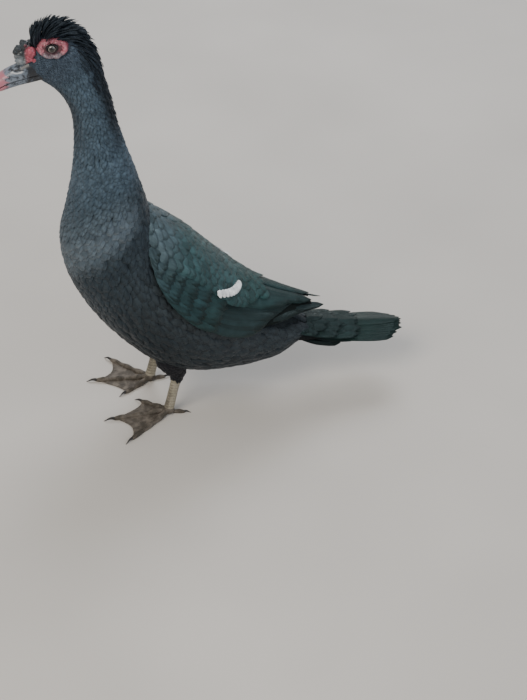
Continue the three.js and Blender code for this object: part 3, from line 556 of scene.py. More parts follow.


# Wings: a dark underlay and tiers of feathers, from those next to the body to those on top

# from and to are (section, share of the way down the wing) of a feather's root and tip
# the tints lighten from the primaries up to the shoulder coverts, partly painted sheen over the feathers' own
# dark green
wingTiers = {
    "primaries": {
        "count": 6, "width": 19, "rootLift": -8.0, "tipLift": -4.6, "steps": 12, "tint": "#161f22",
        "first": {"from": (5.0, 0.60), "to": (9.9, 0.50)}, "last": {"from": (4.4, 0.86), "to": (8.4, 0.82)},
    },
    "secondaries": {
        "count": 9, "width": 25, "rootLift": -7.0, "tipLift": -2.6, "steps": 12, "tint": "#1b2a2d",
        "first": {"from": (3.6, 0.55), "to": (8.0, 0.42)}, "last": {"from": (2.5, 0.95), "to": (6.1, 1.0)},
    },
    "tertials": {
        "count": 6, "width": 29, "rootLift": -6.5, "tipLift": -0.6, "steps": 12, "tint": "#1d3334",
        "first": {"from": (4.2, 0.04), "to": (9.0, 0.10)}, "last": {"from": (3.4, 0.50), "to": (7.6, 0.38)},
    },
    "greaterCoverts": {
        "count": 12, "width": 24, "rootLift": -5.5, "tipLift": 0.0, "steps": 9, "tint": "#1f3537",
        "first": {"from": (2.9, 0.20), "to": (5.3, 0.14)}, "last": {"from": (1.7, 0.96), "to": (4.1, 1.0)},
    },
    "medianCoverts": {
        "count": 14, "width": 20, "rootLift": -5.0, "tipLift": 0.5, "steps": 8, "tint": "#233a3e",
        "first": {"from": (2.4, 0.24), "to": (4.3, 0.20)}, "last": {"from": (1.4, 0.94), "to": (3.3, 0.99)},
    },
    "medianCovertsUpper": {
        "count": 14, "width": 19, "rootLift": -4.8, "tipLift": 0.8, "steps": 8, "tint": "#263d41",
        "first": {"from": (2.0, 0.26), "to": (3.6, 0.22)}, "last": {"from": (1.0, 0.93), "to": (2.7, 0.97)},
    },
    "lesserCovertsThird": {
        "count": 14, "width": 18, "rootLift": -4.6, "tipLift": 1.0, "steps": 7, "tint": "#2a3f44",
        "first": {"from": (1.6, 0.28), "to": (2.9, 0.24)}, "last": {"from": (0.7, 0.91), "to": (2.1, 0.95)},
    },
    "lesserCovertsSecond": {
        "count": 14, "width": 17, "rootLift": -4.6, "tipLift": 1.3, "steps": 7, "tint": "#304248",
        "first": {"from": (1.1, 0.28), "to": (2.3, 0.25)}, "last": {"from": (0.4, 0.88), "to": (1.6, 0.92)},
    },
    "lesserCovertsFirst": {
        "count": 13, "width": 16, "rootLift": -4.6, "tipLift": 1.5, "steps": 7, "tint": "#37464d",
        "first": {"from": (0.7, 0.28), "to": (1.75, 0.26)}, "last": {"from": (0.1, 0.84), "to": (1.1, 0.88)},
    },
    "shoulderCoverts": {
        "count": 12, "width": 16, "rootLift": -4.2, "tipLift": 1.7, "steps": 7, "tint": "#3d4c53",
        "first": {"from": (0.2, 0.25), "to": (1.25, 0.26)}, "last": {"from": (-0.25, 0.8), "to": (0.7, 0.84)},
    },
}
underlay = {"from": 0.15, "to": 9.0, "top": 0.02, "low": 0.98, "rows": 60, "columns": 26,
            "outer": -4.4, "inner": -7.0, "tint": "#0b1413"}


def wingAngle(k, v):
    places = np.arange(len(wingEdges))
    top, low = np.interp(k, places, wingEdges[:, 0]), np.interp(k, places, wingEdges[:, 1])
    return top + (low - top) * v


def wingHome(k, angle):  # the place beside a wing's feather on the skin's unwrap
    return onUnwrap(9 - np.clip(k, 0, 9), angle)


def tierEnds(tier):
    n = tier["count"]
    f = (np.arange(n) / (n - 1))[:, None]
    root, tip = (np.array(tier["first"][key]) * (1 - f) + np.array(tier["last"][key]) * f
                 for key in ("from", "to"))
    return root + dice.normal(0, 1, (n, 2)) * [0.03, 0.004], tip + dice.normal(0, 1, (n, 2)) * [0.05, 0.006]


def wingPlace(root, tip, side):
    # the middle line runs from root to tip in (section, share); across is at right angles on the surface
    root, tip = root[:, None, None, :], tip[:, None, None, :]
    run, fall = tip[..., 0] - root[..., 0], tip[..., 1] - root[..., 1]
    step = 0.05

    def place(t, across, lift):
        k, v = root[..., 0] + run * t, root[..., 1] + fall * t
        angle = wingAngle(k, v)
        _, _, perSection, perDegree = surfaceFrame(wingTable, k, angle)
        alongK = run * step * perSection
        alongA = (wingAngle(k + run * step, v + fall * step) - angle) * perDegree
        size = np.hypot(alongK, alongA)
        k = k - across * alongA / size / perSection
        angle = angle + across * alongK / size / perDegree
        points = onSurface(wingTable, k, angle, np.broadcast_to(lift, angle.shape))
        points[..., 0] = np.maximum(points[..., 0], 0.6 * mm)
        return points * [side, 1, 1]
    return place


def slabFaces(rows, columns):  # an upper and a lower grid of points, closed round their rim
    grid = np.arange(rows * columns).reshape(rows, columns)
    rim = np.concatenate([grid[0, :-1], grid[:-1, -1], grid[-1, :0:-1], grid[:0:-1, 0]])
    following, below = np.roll(rim, -1), rows * columns
    wall = np.stack([rim, rim + below, following + below, following], axis=1)
    top = gridFaces(rows, columns)
    return [top, top[:, ::-1] + below, wall]


def makeUnderlay(label, side):
    k = np.linspace(underlay["from"], underlay["to"], underlay["rows"])[:, None]
    angle = wingAngle(k, np.linspace(underlay["top"], underlay["low"], underlay["columns"])[None, :])
    lifts = [np.full(angle.shape, underlay[key] * mm) for key in ("outer", "inner")]
    points = np.stack([onSurface(wingTable, k, angle, lift) for lift in lifts]).reshape(-1, 3) * [side, 1, 1]
    home = wingHome(k, side * angle).reshape(-1, 2)
    newPiece(f"wingUnderlay_{label}", points, slabFaces(*angle.shape), skinMaterial(),
             (f"wing_{label}",), {"OFBake": np.concatenate([home, home])},
             np.broadcast_to(linearColour(underlay["tint"]), points.shape))


def makeWing(label, side):
    makeUnderlay(label, side)
    for name, tier in wingTiers.items():
        n = tier["count"]
        root, tip = tierEnds(tier)
        featherPiece(f"{name}_{label}", {
            "count": n, "steps": tier["steps"], "columns": 5, "tipRound": 3.0, "camber": 0.1,
            "width": tier["width"] * mm * dice.uniform(0.94, 1.06, n), "rootLift": tier["rootLift"] * mm,
            "tipLift": tier["tipLift"] * mm + dice.normal(0, 0.25 * mm, n),
            "thick": 0.35 * mm, "tilt": 0.06, "place": wingPlace(root, tip, side),
            "home": wingHome(root[:, 0], side * wingAngle(root[:, 0], root[:, 1])),
            "tint": linearColour(tier["tint"]) * dice.uniform(0.8, 1.25, n)[:, None],
            "rim": 0.7 * dice.uniform(0.5, 1, n),
        }, plumage["wing"], (f"wing_{label}",))


# Scapulars: one coat of round-tipped feathers over the back and the upper part of both wings

# low is how far down the wing it reaches, in degrees from the back, at the sections lowAt
scapulars = {
    "from": -0.7, "to": 5.9, "step": 12, "turn": 6.8, "lines": 7, "length": 32, "width": 24,
    "lowAt": [-0.7, 1.0, 4.7, 5.9], "low": [38, 44, 47, 22],
    # the lighter slate at the shoulder is partly painted sheen over the feathers' own dark green
    "shoulder": "#4a5960", "green": "#324e51", "rear": "#294646",
}

# The white crescents: tips follow an arc between two places, each a section and degrees from the back
whitePatch = {"from": (5.2, 24.5), "to": (4.15, 45.0), "bulge": (0.22, 1.0), "count": 10, "short": 8,
              "long": 12, "width": 12, "rootLift": 3.2, "tipLift": 5.2, "tint": "#eef1f1"}


def scapularRoots():
    lines = range(-scapulars["lines"], scapulars["lines"] + 1)
    roots = rootLines(wingTable, (scapulars["from"], scapulars["to"]),
                      [(i, i * scapulars["turn"]) for i in lines], scapulars["step"] * mm)
    roots = roots[np.abs(roots[:, 1]) < np.interp(roots[:, 0], scapulars["lowAt"], scapulars["low"])]
    return roots + dice.normal(0, 1, roots.shape) * [0.02, 0.4]


def makeScapulars():
    roots = scapularRoots()
    n = len(roots)
    length = scapulars["length"] * mm * dice.uniform(0.92, 1.08, n)
    # lighter towards the shoulder: partly painted sheen
    tint = blend(linearColour(scapulars["shoulder"]), linearColour(scapulars["green"]),
                 smoothStep(-0.2, 2.0, roots[:, 0]))
    tint = blend(tint, linearColour(scapulars["rear"]), smoothStep(3.5, 5.5, roots[:, 0]))
    featherPiece("scapulars", {
        "count": n, "steps": 9, "columns": 5, "tipRound": 2.8,
        "width": scapulars["width"] * mm * dice.uniform(0.92, 1.08, n),
        "rootLift": -2.5 * mm, "tipLift": mm * dice.uniform(2.2, 3.0, n),
        "camber": 0.07, "thick": 0.2 * mm, "tilt": dice.normal(0, 0.02, n),
        "place": lyingOn(wingTable, roots, length, dice.normal(0, 3, n), heading=1),
        "home": wingHome(roots[:, 0], roots[:, 1]), "tint": tint * dice.uniform(0.85, 1.15, n)[:, None],
        "rim": 0.35 * dice.uniform(0.6, 1, n),
    }, plumage["wing"], ("torso",))


def makeCrescent():
    share = np.linspace(0, 1, whitePatch["count"])[:, None]
    arc = np.sin(np.pi * share)
    tips = (1 - share) * whitePatch["from"] + share * whitePatch["to"] + arc * whitePatch["bulge"]
    tips = np.concatenate([tips, tips * [1, -1]])
    n = len(tips)
    length = mm * np.tile(whitePatch["short"] + (whitePatch["long"] - whitePatch["short"]) * arc[:, 0], 2)
    perSection = surfaceFrame(wingTable, tips[:, 0], tips[:, 1])[2]
    roots = np.stack([tips[:, 0] - length / perSection, tips[:, 1]], axis=1)
    featherPiece("whiteCrescent", {
        "count": n, "steps": 7, "columns": 5, "tipRound": 2.6, "width": np.full(n, whitePatch["width"] * mm),
        "rootLift": whitePatch["rootLift"] * mm, "tipLift": whitePatch["tipLift"] * mm, "camber": 0.1,
        "thick": 0.2 * mm, "tilt": 0, "place": lyingOn(wingTable, roots, length, np.zeros(n), heading=1),
        "home": wingHome(roots[:, 0], roots[:, 1]),
        "tint": linearColour(whitePatch["tint"]), "rim": 0.2,
    }, plumage["white"], ("torso",))


makeWing("left", 1)
makeWing("right", -1)
makeScapulars()
makeCrescent()
print("wings made")


# Tail: a flat core, a closed fan of long quills, and coverts over and under their roots

# face is 1 for a tier on the upper side and -1 for one below; rise heaps a tier up in the middle
tailShape = {"rootY": 226, "tipY": 400, "rootZ": 110, "tipZ": 89, "droop": 0.16}
tailTiers = {
    "tailQuills": {
        "pairs": 8, "fromY": 236, "toY": 399, "round": 24, "spreadRoot": 18, "spreadTip": 33, "width": 22,
        "rootLift": -2.0, "tipLift": -1.5, "rise": 5.0, "face": 1, "stagger": 3, "steps": 14,
        "tint": "#11211f"},
    "tailCovertsLong": {
        "pairs": 5, "fromY": 236, "toY": 330, "round": 16, "spreadRoot": 20, "spreadTip": 31, "width": 22,
        "rootLift": 1.5, "tipLift": 5.0, "rise": 1.5, "face": 1, "stagger": 16, "steps": 9,
        "tint": "#122020"},
    "tailCovertsMid": {
        "pairs": 6, "fromY": 226, "toY": 298, "round": 14, "spreadRoot": 22, "spreadTip": 33, "width": 20,
        "rootLift": 4.5, "tipLift": 8.0, "rise": 1.5, "face": 1, "stagger": 14, "steps": 8,
        "tint": "#141f20"},
    "tailCovertsShort": {
        "pairs": 6, "fromY": 214, "toY": 268, "round": 12, "spreadRoot": 22, "spreadTip": 34, "width": 19,
        "rootLift": 8.0, "tipLift": 12.0, "rise": 1.5, "face": 1, "stagger": 14, "steps": 8,
        "tint": "#151e20"},
    "tailCovertsUnder": {
        "pairs": 5, "fromY": 232, "toY": 338, "round": 16, "spreadRoot": 18, "spreadTip": 28, "width": 23,
        "rootLift": 4.0, "tipLift": 6.0, "rise": 1.5, "face": -1, "stagger": 14, "steps": 8,
        "tint": "#16191b"},
    "tailCovertsUnderShort": {
        "pairs": 6, "fromY": 222, "toY": 298, "round": 14, "spreadRoot": 20, "spreadTip": 30, "width": 22,
        "rootLift": 8.0, "tipLift": 12.0, "rise": 1.5, "face": -1, "stagger": 14, "steps": 8,
        "tint": "#181a1c"},
}
tailCoreShape = {"rows": 24, "columns": 32, "from": 216, "long": 92, "half": 34, "narrow": 12, "tall": 15,
                 "flat": 2.5}


def tailPoint(x, y, lift, face):
    # the tail's middle line falls from root to tip, and its sides droop a little
    t = np.clip((y / mm - tailShape["rootY"]) / (tailShape["tipY"] - tailShape["rootY"]), 0, 1.1)
    z = tailShape["rootZ"] + (tailShape["tipZ"] - tailShape["rootZ"]) * (0.45 * np.sqrt(t) + 0.55 * t)
    return np.stack(np.broadcast_arrays(x, y, z * mm + face * lift - tailShape["droop"] * np.abs(x)), axis=-1)


def tailHome(tier, side):
    along = 0.03 if tier["face"] > 0 else 0.025
    return np.stack([np.full(len(side), along), 0.02 + 0.96 * ((side * 40) % 360) / 360], axis=1)


def makeTailTier(name, tier):
    side = np.arange(-tier["pairs"], tier["pairs"] + 1) / tier["pairs"]
    n = len(side)
    fan = side[:, None, None]
    shorter = tier["stagger"] * (np.arange(n) % 2) + dice.normal(0, 0.35 * tier["stagger"], n)
    toY = tier["toY"] - tier["round"] * fan ** 2 - shorter[:, None, None]

    def place(t, across, lift):
        y = (tier["fromY"] + (toY - tier["fromY"]) * t) * mm - across * fan * 0.12
        x = fan * (tier["spreadRoot"] + (tier["spreadTip"] - tier["spreadRoot"]) * t ** 0.8) * mm
        heap = tier["rise"] * mm * (1 - np.abs(fan))
        return tailPoint(x + across, y, lift + heap, tier["face"])
    featherPiece(name, {
        "count": n, "steps": tier["steps"], "columns": 5, "tipRound": 3.4, "camber": 0.08,
        "width": tier["width"] * mm * dice.uniform(0.95, 1.05, n), "rootLift": tier["rootLift"] * mm,
        "tipLift": tier["tipLift"] * mm, "thick": 0.4 * mm, "tilt": -0.05 * np.sign(side), "place": place,
        "home": tailHome(tier, side), "rim": 0.6,
        "tint": linearColour(tier["tint"]) * dice.uniform(0.85, 1.2, n)[:, None],
    }, plumage["tail"], ("tail",))


def makeTailCore():
    # a flat tapering core that carries the coverts, hidden under them
    shape = tailCoreShape
    t = np.linspace(0, 1, shape["rows"])[:, None]
    a = roundTurn(shape["columns"])
    x = (shape["half"] - shape["narrow"] * t ** 2) * mm * np.sin(a)
    lift = (shape["tall"] * (1 - t) + shape["flat"]) * mm * np.cos(a)
    points = tailPoint(x, (shape["from"] + shape["long"] * t + 0 * a) * mm, lift, 1)
    homes = np.stack(np.broadcast_arrays(0.02 + 0.01 * t, 0.02 + 0.96 * a / (2 * np.pi)), axis=-1)
    newPiece("tailCore", points, tubeFaces(*points.shape[:2]), skinMaterial(), ("tail",),
             {"OFBake": homes}, np.broadcast_to(linearColour("#101416"), points.shape))


makeTailCore()
for name, tier in tailTiers.items():
    makeTailTier(name, tier)
print("tail made")


# Crest: narrow locks stand up from the crown and lean back, shorter down the nape

crest = {"count": 900, "front": 21.8, "rear": 13.8, "spread": 26, "widest": 60, "length": 27, "width": 2.8,
         "sink": 3, "curl": 0.55, "leanAt": [13.8, 16.5, 18.5, 20, 21.2, 21.8],
         "lean": [1.15, 1.0, 0.75, 0.45, 0.3, 0.25], "tint": "#1d242b", "paleTint": "#8d9399",
         "paleShare": 0.012}


def standingOn(roots, length, lean, sway, twist):
    # place(t, across, lift): a lock leaves the skin lean radians from its normal and curls further back
    point, normal, _, _ = surfaceFrame(bodyTable, roots[:, 0], roots[:, 1])
    back = unit(sectionPoint(bodyTable, roots[:, 0] - 0.1, roots[:, 1])
                - sectionPoint(bodyTable, roots[:, 0] + 0.1, roots[:, 1]))
    point, normal, back = (v[:, None, None, :] for v in (point - crest["sink"] * mm * normal, normal, back))
    aside = np.cross(normal, back)
    length, lean, sway = (v[:, None, None, None] for v in (length, lean, sway))
    turnCos, turnSin = np.cos(twist)[:, None, None, None], np.sin(twist)[:, None, None, None]

    def place(t, across, lift):
        t, across, lift = t[..., None], across[..., None], lift[..., None]
        bend = lean + crest["curl"] * t
        middle = point + length * t * (normal * np.cos(bend) + back * np.sin(bend)) + aside * sway * t * t
        facing = normal * np.sin(bend) - back * np.cos(bend)
        return (middle + across * (aside * turnCos + facing * turnSin)
                + lift * (facing * turnCos - aside * turnSin))
    return place


def makeCrest():
    n = crest["count"]
    share = dice.random(n)
    aside = np.clip(dice.normal(0, crest["spread"], n), -crest["widest"], crest["widest"])
    roots = np.stack([crest["front"] - (crest["front"] - crest["rear"]) * share, aside], axis=1)
    overFace = (np.abs(roots[:, 1]) > 44) & (roots[:, 0] > 18.6)
    roots[overFace, 1] *= 0.6
    full = smoothStep(13.4, 18.0, roots[:, 0])
    length = crest["length"] * mm * (0.55 + 0.45 * full) * dice.uniform(0.9, 1.04, n)
    lean = np.interp(roots[:, 0], crest["leanAt"], crest["lean"]) + dice.normal(0, 0.07, n)
    tint = linearColour(crest["tint"]) * dice.uniform(0.6, 1.4, n)[:, None]
    tint[dice.random(n) < crest["paleShare"]] = linearColour(crest["paleTint"])
    featherPiece("crest", {
        "count": n, "steps": 8, "columns": 3, "width": crest["width"] * mm * dice.uniform(0.6, 1.25, n),
        "tipRound": 1.5, "rootLift": 0, "tipLift": 0, "camber": 0.3, "thick": 0.3 * mm, "tilt": 0,
        "place": standingOn(roots, length, lean, dice.normal(0, 1.6 * mm, n), dice.uniform(-1.5, 1.5, n)),
        "home": onUnwrap(roots[:, 0] + 1, roots[:, 1]), "tint": tint, "rim": 0.15,
    }, plumage["neck"], ("head",))


makeCrest()
print("crest made")


# Caruncles: bumpy bare skin round the eyes and over the bill's root

def moistSkin(name, roughness, mottle):  # wet, bumpy flesh with blood under it; its colours come from "tint"
    material, tree, shader = newMaterial(name, {
        "Roughness": roughness, "IOR": 1.42, "Specular IOR Level": 0.55, "Coat Weight": 0.25,
        "Coat Roughness": 0.18, "Subsurface Weight": 0.12, "Subsurface Scale": 2.0 * mm,
        "Subsurface Radius": (1.0, 0.35, 0.3)})
    tone = brightness(tree, noise(tree, mottle, 5.0), 0.6, 1.35)
    pores = addNode(tree, "ShaderNodeTexVoronoi", inputs=objectPlace(tree, 1.1))
    base = scaledColour(tree, stored(tree, "tint", "Color"), tone)
    surfaceOf(tree, shader, base, (0.35, 0.25, pores.outputs["Distance"]))
    return material


caruncleSkin = moistSkin("moistCaruncle", 0.34, 3.2)


def domes(away, radius, height):  # many round caps side by side, with creases where they meet
    caps = height * np.sqrt(np.clip(1 - (away / radius) ** 2, 0, None))
    return np.sum(caps ** 4, axis=-1) ** 0.25


def sideOfHead(y, z):
    # the section whose line from underside to back passes through y and z, then its half width there
    places = np.linspace(13, len(bodyTable) - 1, 181)
    row = throughTable(bodyTable, places)
    middle, rise = (row[:, 0:2] + row[:, 2:4]) / 2, (row[:, 0:2] - row[:, 2:4]) / 2
    away = np.stack([y, z], axis=-1)[..., None, :] - middle
    beyond = away[..., 0] * rise[:, 1] - away[..., 1] * rise[:, 0] > 0
    i = np.where(beyond.any(axis=-1), beyond.argmax(axis=-1), len(places) - 1)
    chosen = np.take_along_axis(away, i[..., None, None], axis=-2)[..., 0, :]
    cosine = np.clip(np.sum(chosen * rise[i], axis=-1) / np.sum(rise[i] ** 2, axis=-1), -0.97, 0.97)
    return row[i, 4] * np.sqrt(1 - cosine ** 2)


face = {"long": 20.5, "tall": 12.5, "back": 1.5, "down": 1.0, "openLong": 5.0, "openTall": 4.1, "lid": 0.2,
        "bumps": 64, "rows": 90, "columns": 220, "red": "#a5606b", "pinkGrey": "#77666c",
        "lidDark": "#141013", "lidPale": "#a39b96"}


def makeFace(label, side):
    q = np.linspace(0, 1, face["rows"])[:, None]
    turn = roundTurn(face["columns"])
    wobble = 1 + 0.05 * np.sin(2 * turn + 2.4) + 0.05 * np.sin(3 * turn + 0.6) + 0.03 * np.sin(7 * turn + 2)
    outLong, outTall = face["long"] * wobble, face["tall"] * wobble
    openLong, openTall = face["openLong"], face["openTall"]
    reach = openLong + (outLong - openLong) * q
    rise = openTall + (outTall - openTall) * q
    # turn 0 is straight ahead, a quarter turn is up
    y = eye["y"] / mm - reach * np.cos(turn) + face["back"] * q
    z = eye["z"] / mm + rise * np.sin(turn) - face["down"] * q
    surface = sideOfHead(y * mm, z * mm) / mm
    # the centre is the eye's own face, flatter than the head's side, then the plate follows the head
    surface = surface + (eye["x"] / mm - 1.5 - surface) * smoothStep(0.75, 0.1, q)
    # fleshy bumps scattered by the golden angle, larger and higher towards the outer edge
    n = face["bumps"]
    spotOut = 0.4 + 0.55 * np.sqrt((np.arange(n) + 0.5) / n) + dice.normal(0, 0.03, n)
    spotTurn = np.arange(n) * goldenAngle + dice.normal(0, 0.12, n)
    size = (1.1 + 2.3 * smoothStep(0.4, 0.9, spotOut)) * dice.uniform(0.7, 1.35, n)
    spotY = eye["y"] / mm - (openLong + (face["long"] - openLong) * spotOut) * np.cos(spotTurn)
    spotZ = eye["z"] / mm + (openTall + (face["tall"] - openTall) * spotOut) * np.sin(spotTurn)
    spotY, spotZ = spotY + face["back"] * spotOut, spotZ - face["down"] * spotOut
    away = np.hypot(y[..., None] - spotY, z[..., None] - spotZ)
    bumps = domes(away, size, 0.85 * size * dice.uniform(0.8, 1.15, n))
    lidRise = 2.6 * np.sqrt(np.clip(1 - ((q - face["lid"] / 2) / (face["lid"] / 2 + 0.02)) ** 2, 0, None))
    plate = 0.9 * smoothStep(0.12, 0.3, q) + bumps * smoothStep(0.2, 0.34, q)
    height = np.maximum(lidRise, plate) - 3.6 * smoothStep(0.86, 1.0, q) - 1.6 * smoothStep(0.06, 0, q)
    outer = np.stack([surface + height, y, z], axis=-1)
    backRows = np.stack([np.stack([surface[i] - 5, y[i], z[i]], axis=-1) for i in (-1, 0)])
    points = np.concatenate([outer, backRows]) * [side, 1, 1] * mm
    rows, columns = points.shape[:2]
    grid = gridFaces(rows, columns, closed=True)
    last = np.arange(columns) + (rows - 1) * columns
    seam = np.stack([last, np.roll(last, -1), np.roll(np.arange(columns), -1), np.arange(columns)], axis=1)
    degrees = np.degrees(turn) + 0 * q
    below = smoothStep(205, 235, degrees) * smoothStep(345, 315, degrees)
    tint = blend(linearColour(face["red"]), linearColour(face["pinkGrey"]), below * smoothStep(0.2, 0.5, q))
    # darker where the bumps are low: painted shade in the creases between them
    tint = tint * (0.35 + 0.65 * smoothStep(0.2, 1.6, bumps + 1.5 * smoothStep(0.4, 0.1, q)))[..., None]
    onLid = smoothStep(face["lid"] + 0.14, face["lid"] - 0.02, q) + 0 * turn
    tint = blend(tint, linearColour(face["lidDark"]), onLid)
    rearEdge = smoothStep(130, 160, degrees) * smoothStep(235, 205, degrees) * smoothStep(0.09, 0.02, q)
    tint = blend(tint, linearColour(face["lidPale"]), rearEdge)
    tint = np.concatenate([tint, tint[-1:], tint[:1]])
    newPiece(f"caruncleFace_{label}", points, [grid, seam], caruncleSkin,
             (f"caruncle_{label}",), None, tint)


def ballPart(centre, size, rings, around, spots=0, height=0.0, width=0.5):
    # a ball of half sizes size, with smaller domes set evenly over it by the golden angle
    polar, turn = np.linspace(0.04, np.pi - 0.04, rings)[:, None], roundTurn(around)
    way = np.stack(np.broadcast_arrays(np.sin(polar) * np.cos(turn), np.sin(polar) * np.sin(turn),
                                       np.cos(polar)), -1)
    swell = np.ones(way.shape[:2])
    if spots:
        i = np.arange(spots) + 0.5
        level, bearing = 1 - 2 * i / spots, i * goldenAngle
        flat = np.sqrt(1 - level ** 2)
        spot = np.stack([flat * np.cos(bearing), flat * np.sin(bearing), level], 1)
        spot = unit(spot + dice.normal(0, 0.12, spot.shape))
        away = np.arccos(np.clip(way @ spot.T, -1, 1))
        radius = width * dice.uniform(0.75, 1.25, spots)
        swell = swell + domes(away, radius, height * dice.uniform(0.5, 1.2, spots))
    points = (np.asarray(centre, float) + np.asarray(size, float) * way * swell[..., None]) * mm
    return (points.reshape(-1, 3), *tubeFaces(rings, around))


def joinParts(parts):
    points, quads, caps, start = [], [], [], 0
    for part, faces, ends in parts:
        points.append(part)
        quads.append(faces + start)
        caps.append(ends + start)
        start += len(part)
    return np.concatenate(points), [np.concatenate(quads), np.concatenate(caps)]


# Each bulb: middle x, y, z, then half sizes, then how many domes it carries
knobBulbs = [
    [0, -151, 603, 7.6, 11.2, 8.0, 16], [0, -145, 613, 7.6, 8.4, 7.2, 18], [1, -155, 611, 5.2, 5.2, 5.2, 9],
    [5, -152, 595.5, 5.8, 9, 5.6, 9], [-5, -152, 595.5, 5.8, 9, 5.6, 9], [0.5, -159, 606.5, 4.6, 4.4, 4.6, 7],
    [-4, -149, 617, 3.8, 4.2, 4.2, 7], [4.5, -146, 617.5, 3.4, 3.8, 3.4, 6], [-1, -139, 618, 5, 5, 3.6, 7],
    [8, -146, 606, 5.2, 5.6, 5.6, 9], [-8, -146, 606, 5.2, 5.6, 5.6, 9],
    [11.5, -140, 609, 5.2, 6.6, 7.6, 12], [-11.5, -140, 609, 5.2, 6.6, 7.6, 12],
    [12, -143, 601, 4.2, 5.8, 4.7, 8], [-12, -143, 601, 4.2, 5.8, 4.7, 8],
    [12.6, -135, 598, 3.6, 5, 4.4, 7], [-12.6, -135, 598, 3.6, 5, 4.4, 7],
]
knobColours = {"pale": "#767c80", "dark": "#33393d", "red": "#a5505d"}


def makeKnob():
    points, faces = joinParts([
        ballPart(bulb[0:3], bulb[3:6], 40, 56, bulb[6], 0.16, 0.42) for bulb in knobBulbs])
    x, y, z = (points / mm).T
    dark = smoothStep(600, 605, z + 0.2 * (y + 151))
    tint = blend(linearColour(knobColours["pale"]), linearColour(knobColours["dark"]), dark)
    flank = smoothStep(6.5, 9.5, np.abs(x)) * smoothStep(-150, -145, y)
    tint = blend(tint, linearColour(knobColours["red"]), flank)
    newPiece("caruncleKnob", points, faces, caruncleSkin, ("caruncle_bill",), None, tint)


makeFace("left", 1)
makeFace("right", -1)
makeKnob()
print("caruncles made")


# Eyes: a glossy ball whose colour goes by its distance from the middle of the pupil

def eyeMaterial():
    material, tree, shader = newMaterial("wetEye", {
        "Roughness": 0.12, "IOR": 1.45, "Coat Weight": 1.0, "Coat Roughness": 0.03})
    edge = mathNode(tree, "MULTIPLY_ADD", noise(tree, 0.7, 3.0), 0.06, stored(tree, "ring"))
    surfaceOf(tree, shader, colourRamp(tree, edge, [
        (0.0, "#040404"), (0.36, "#050505"), (0.4, "#1a120e"), (0.56, "#21170f"), (0.61, "#0f0c0b"),
        (0.66, "#8f8a83"), (0.73, "#827c75"), (0.79, "#0f0c0b")]))
    return material


eyeLook = eyeMaterial()


def makeEye(label, side):
    centre = np.array([side * eye["x"] * eye["inset"], eye["y"], eye["z"]]) / mm
    size = eye["radius"] / mm
    points, quads, caps = ballPart(centre, [size] * 3, 48, 64)
    away = (points / mm - centre) / size
    ring = np.where(side * away[:, 0] > 0, np.hypot(away[:, 1], away[:, 2]), 1.0)
    newPiece(f"eyeBall_{label}", points, [quads, caps], eyeLook, (f"eye_{label}",), None, None,
             {"ring": ring})


makeEye("left", 1)
makeEye("right", -1)
print("eyes made")


# Bill: an upper and a lower half lofted through the same sections, with a hooked nail at the tip

# each section: y, then z of the top, the mouth line and the bottom, then half width
billTable = mm * np.array([
    [-130, 603, 578, 567, 15.5], [-146, 596, 575, 564, 14.8], [-160, 589, 572, 561.5, 13.6],
    [-174, 583, 568.5, 558.5, 13.4], [-186, 576, 563.5, 555.5, 13], [-193, 570.5, 560, 554.5, 10.5],
    [-198, 564, 557, 554, 5],
], float)
bill = {"power": 0.75, "rows": 150, "top": 96, "flat": 12, "lowerBack": 2.5, "lowerNarrow": 0.9, "gape": 0.7,
        "nostril": [-161, 584.5, 4.0, 1.7]}


def hornMaterial():
    # the tint under black blotches that follow "mottle", over a finely uneven surface
    material, tree, shader = newMaterial("mottledHorn", {
        "Roughness": 0.36, "IOR": 1.5, "Specular IOR Level": 0.5, "Coat Weight": 0.15,
        "Coat Roughness": 0.25})
    blotch = noise(tree, 5.5, 6.0, Roughness=0.6)
    specked = mathNode(tree, "MULTIPLY_ADD", noise(tree, 1.4, 3.0), 0.3, blotch)
    amount = mathNode(tree, "MULTIPLY_ADD", stored(tree, "mottle"), 0.4, specked)
    dark = colourRamp(tree, amount, [(0.76, 0.0), (0.9, 0.9)])
    surfaceOf(tree, shader, mixedColour(tree, dark, stored(tree, "tint", "Color"), rgba("#15161a")),
              (0.25, 0.3, specked))
    return material


horn = hornMaterial()


def billTints(points):
    x, y, z = (points / mm).T
    edge = y + 2.5 * np.sin(z * 0.9) + 1.5 * np.sin(z * 2.1 + x)
    tint = blend(linearColour("#48515c"), linearColour("#76808c"), smoothStep(-138, -160, y))
    tint = blend(tint, linearColour("#b3727d"), smoothStep(-173, -180, edge))
    mottle = 0.35 + 0.35 * smoothStep(-158, -138, y) + 0.2 * smoothStep(582, 592, z)
    return tint, mottle * smoothStep(-184, -172, edge)


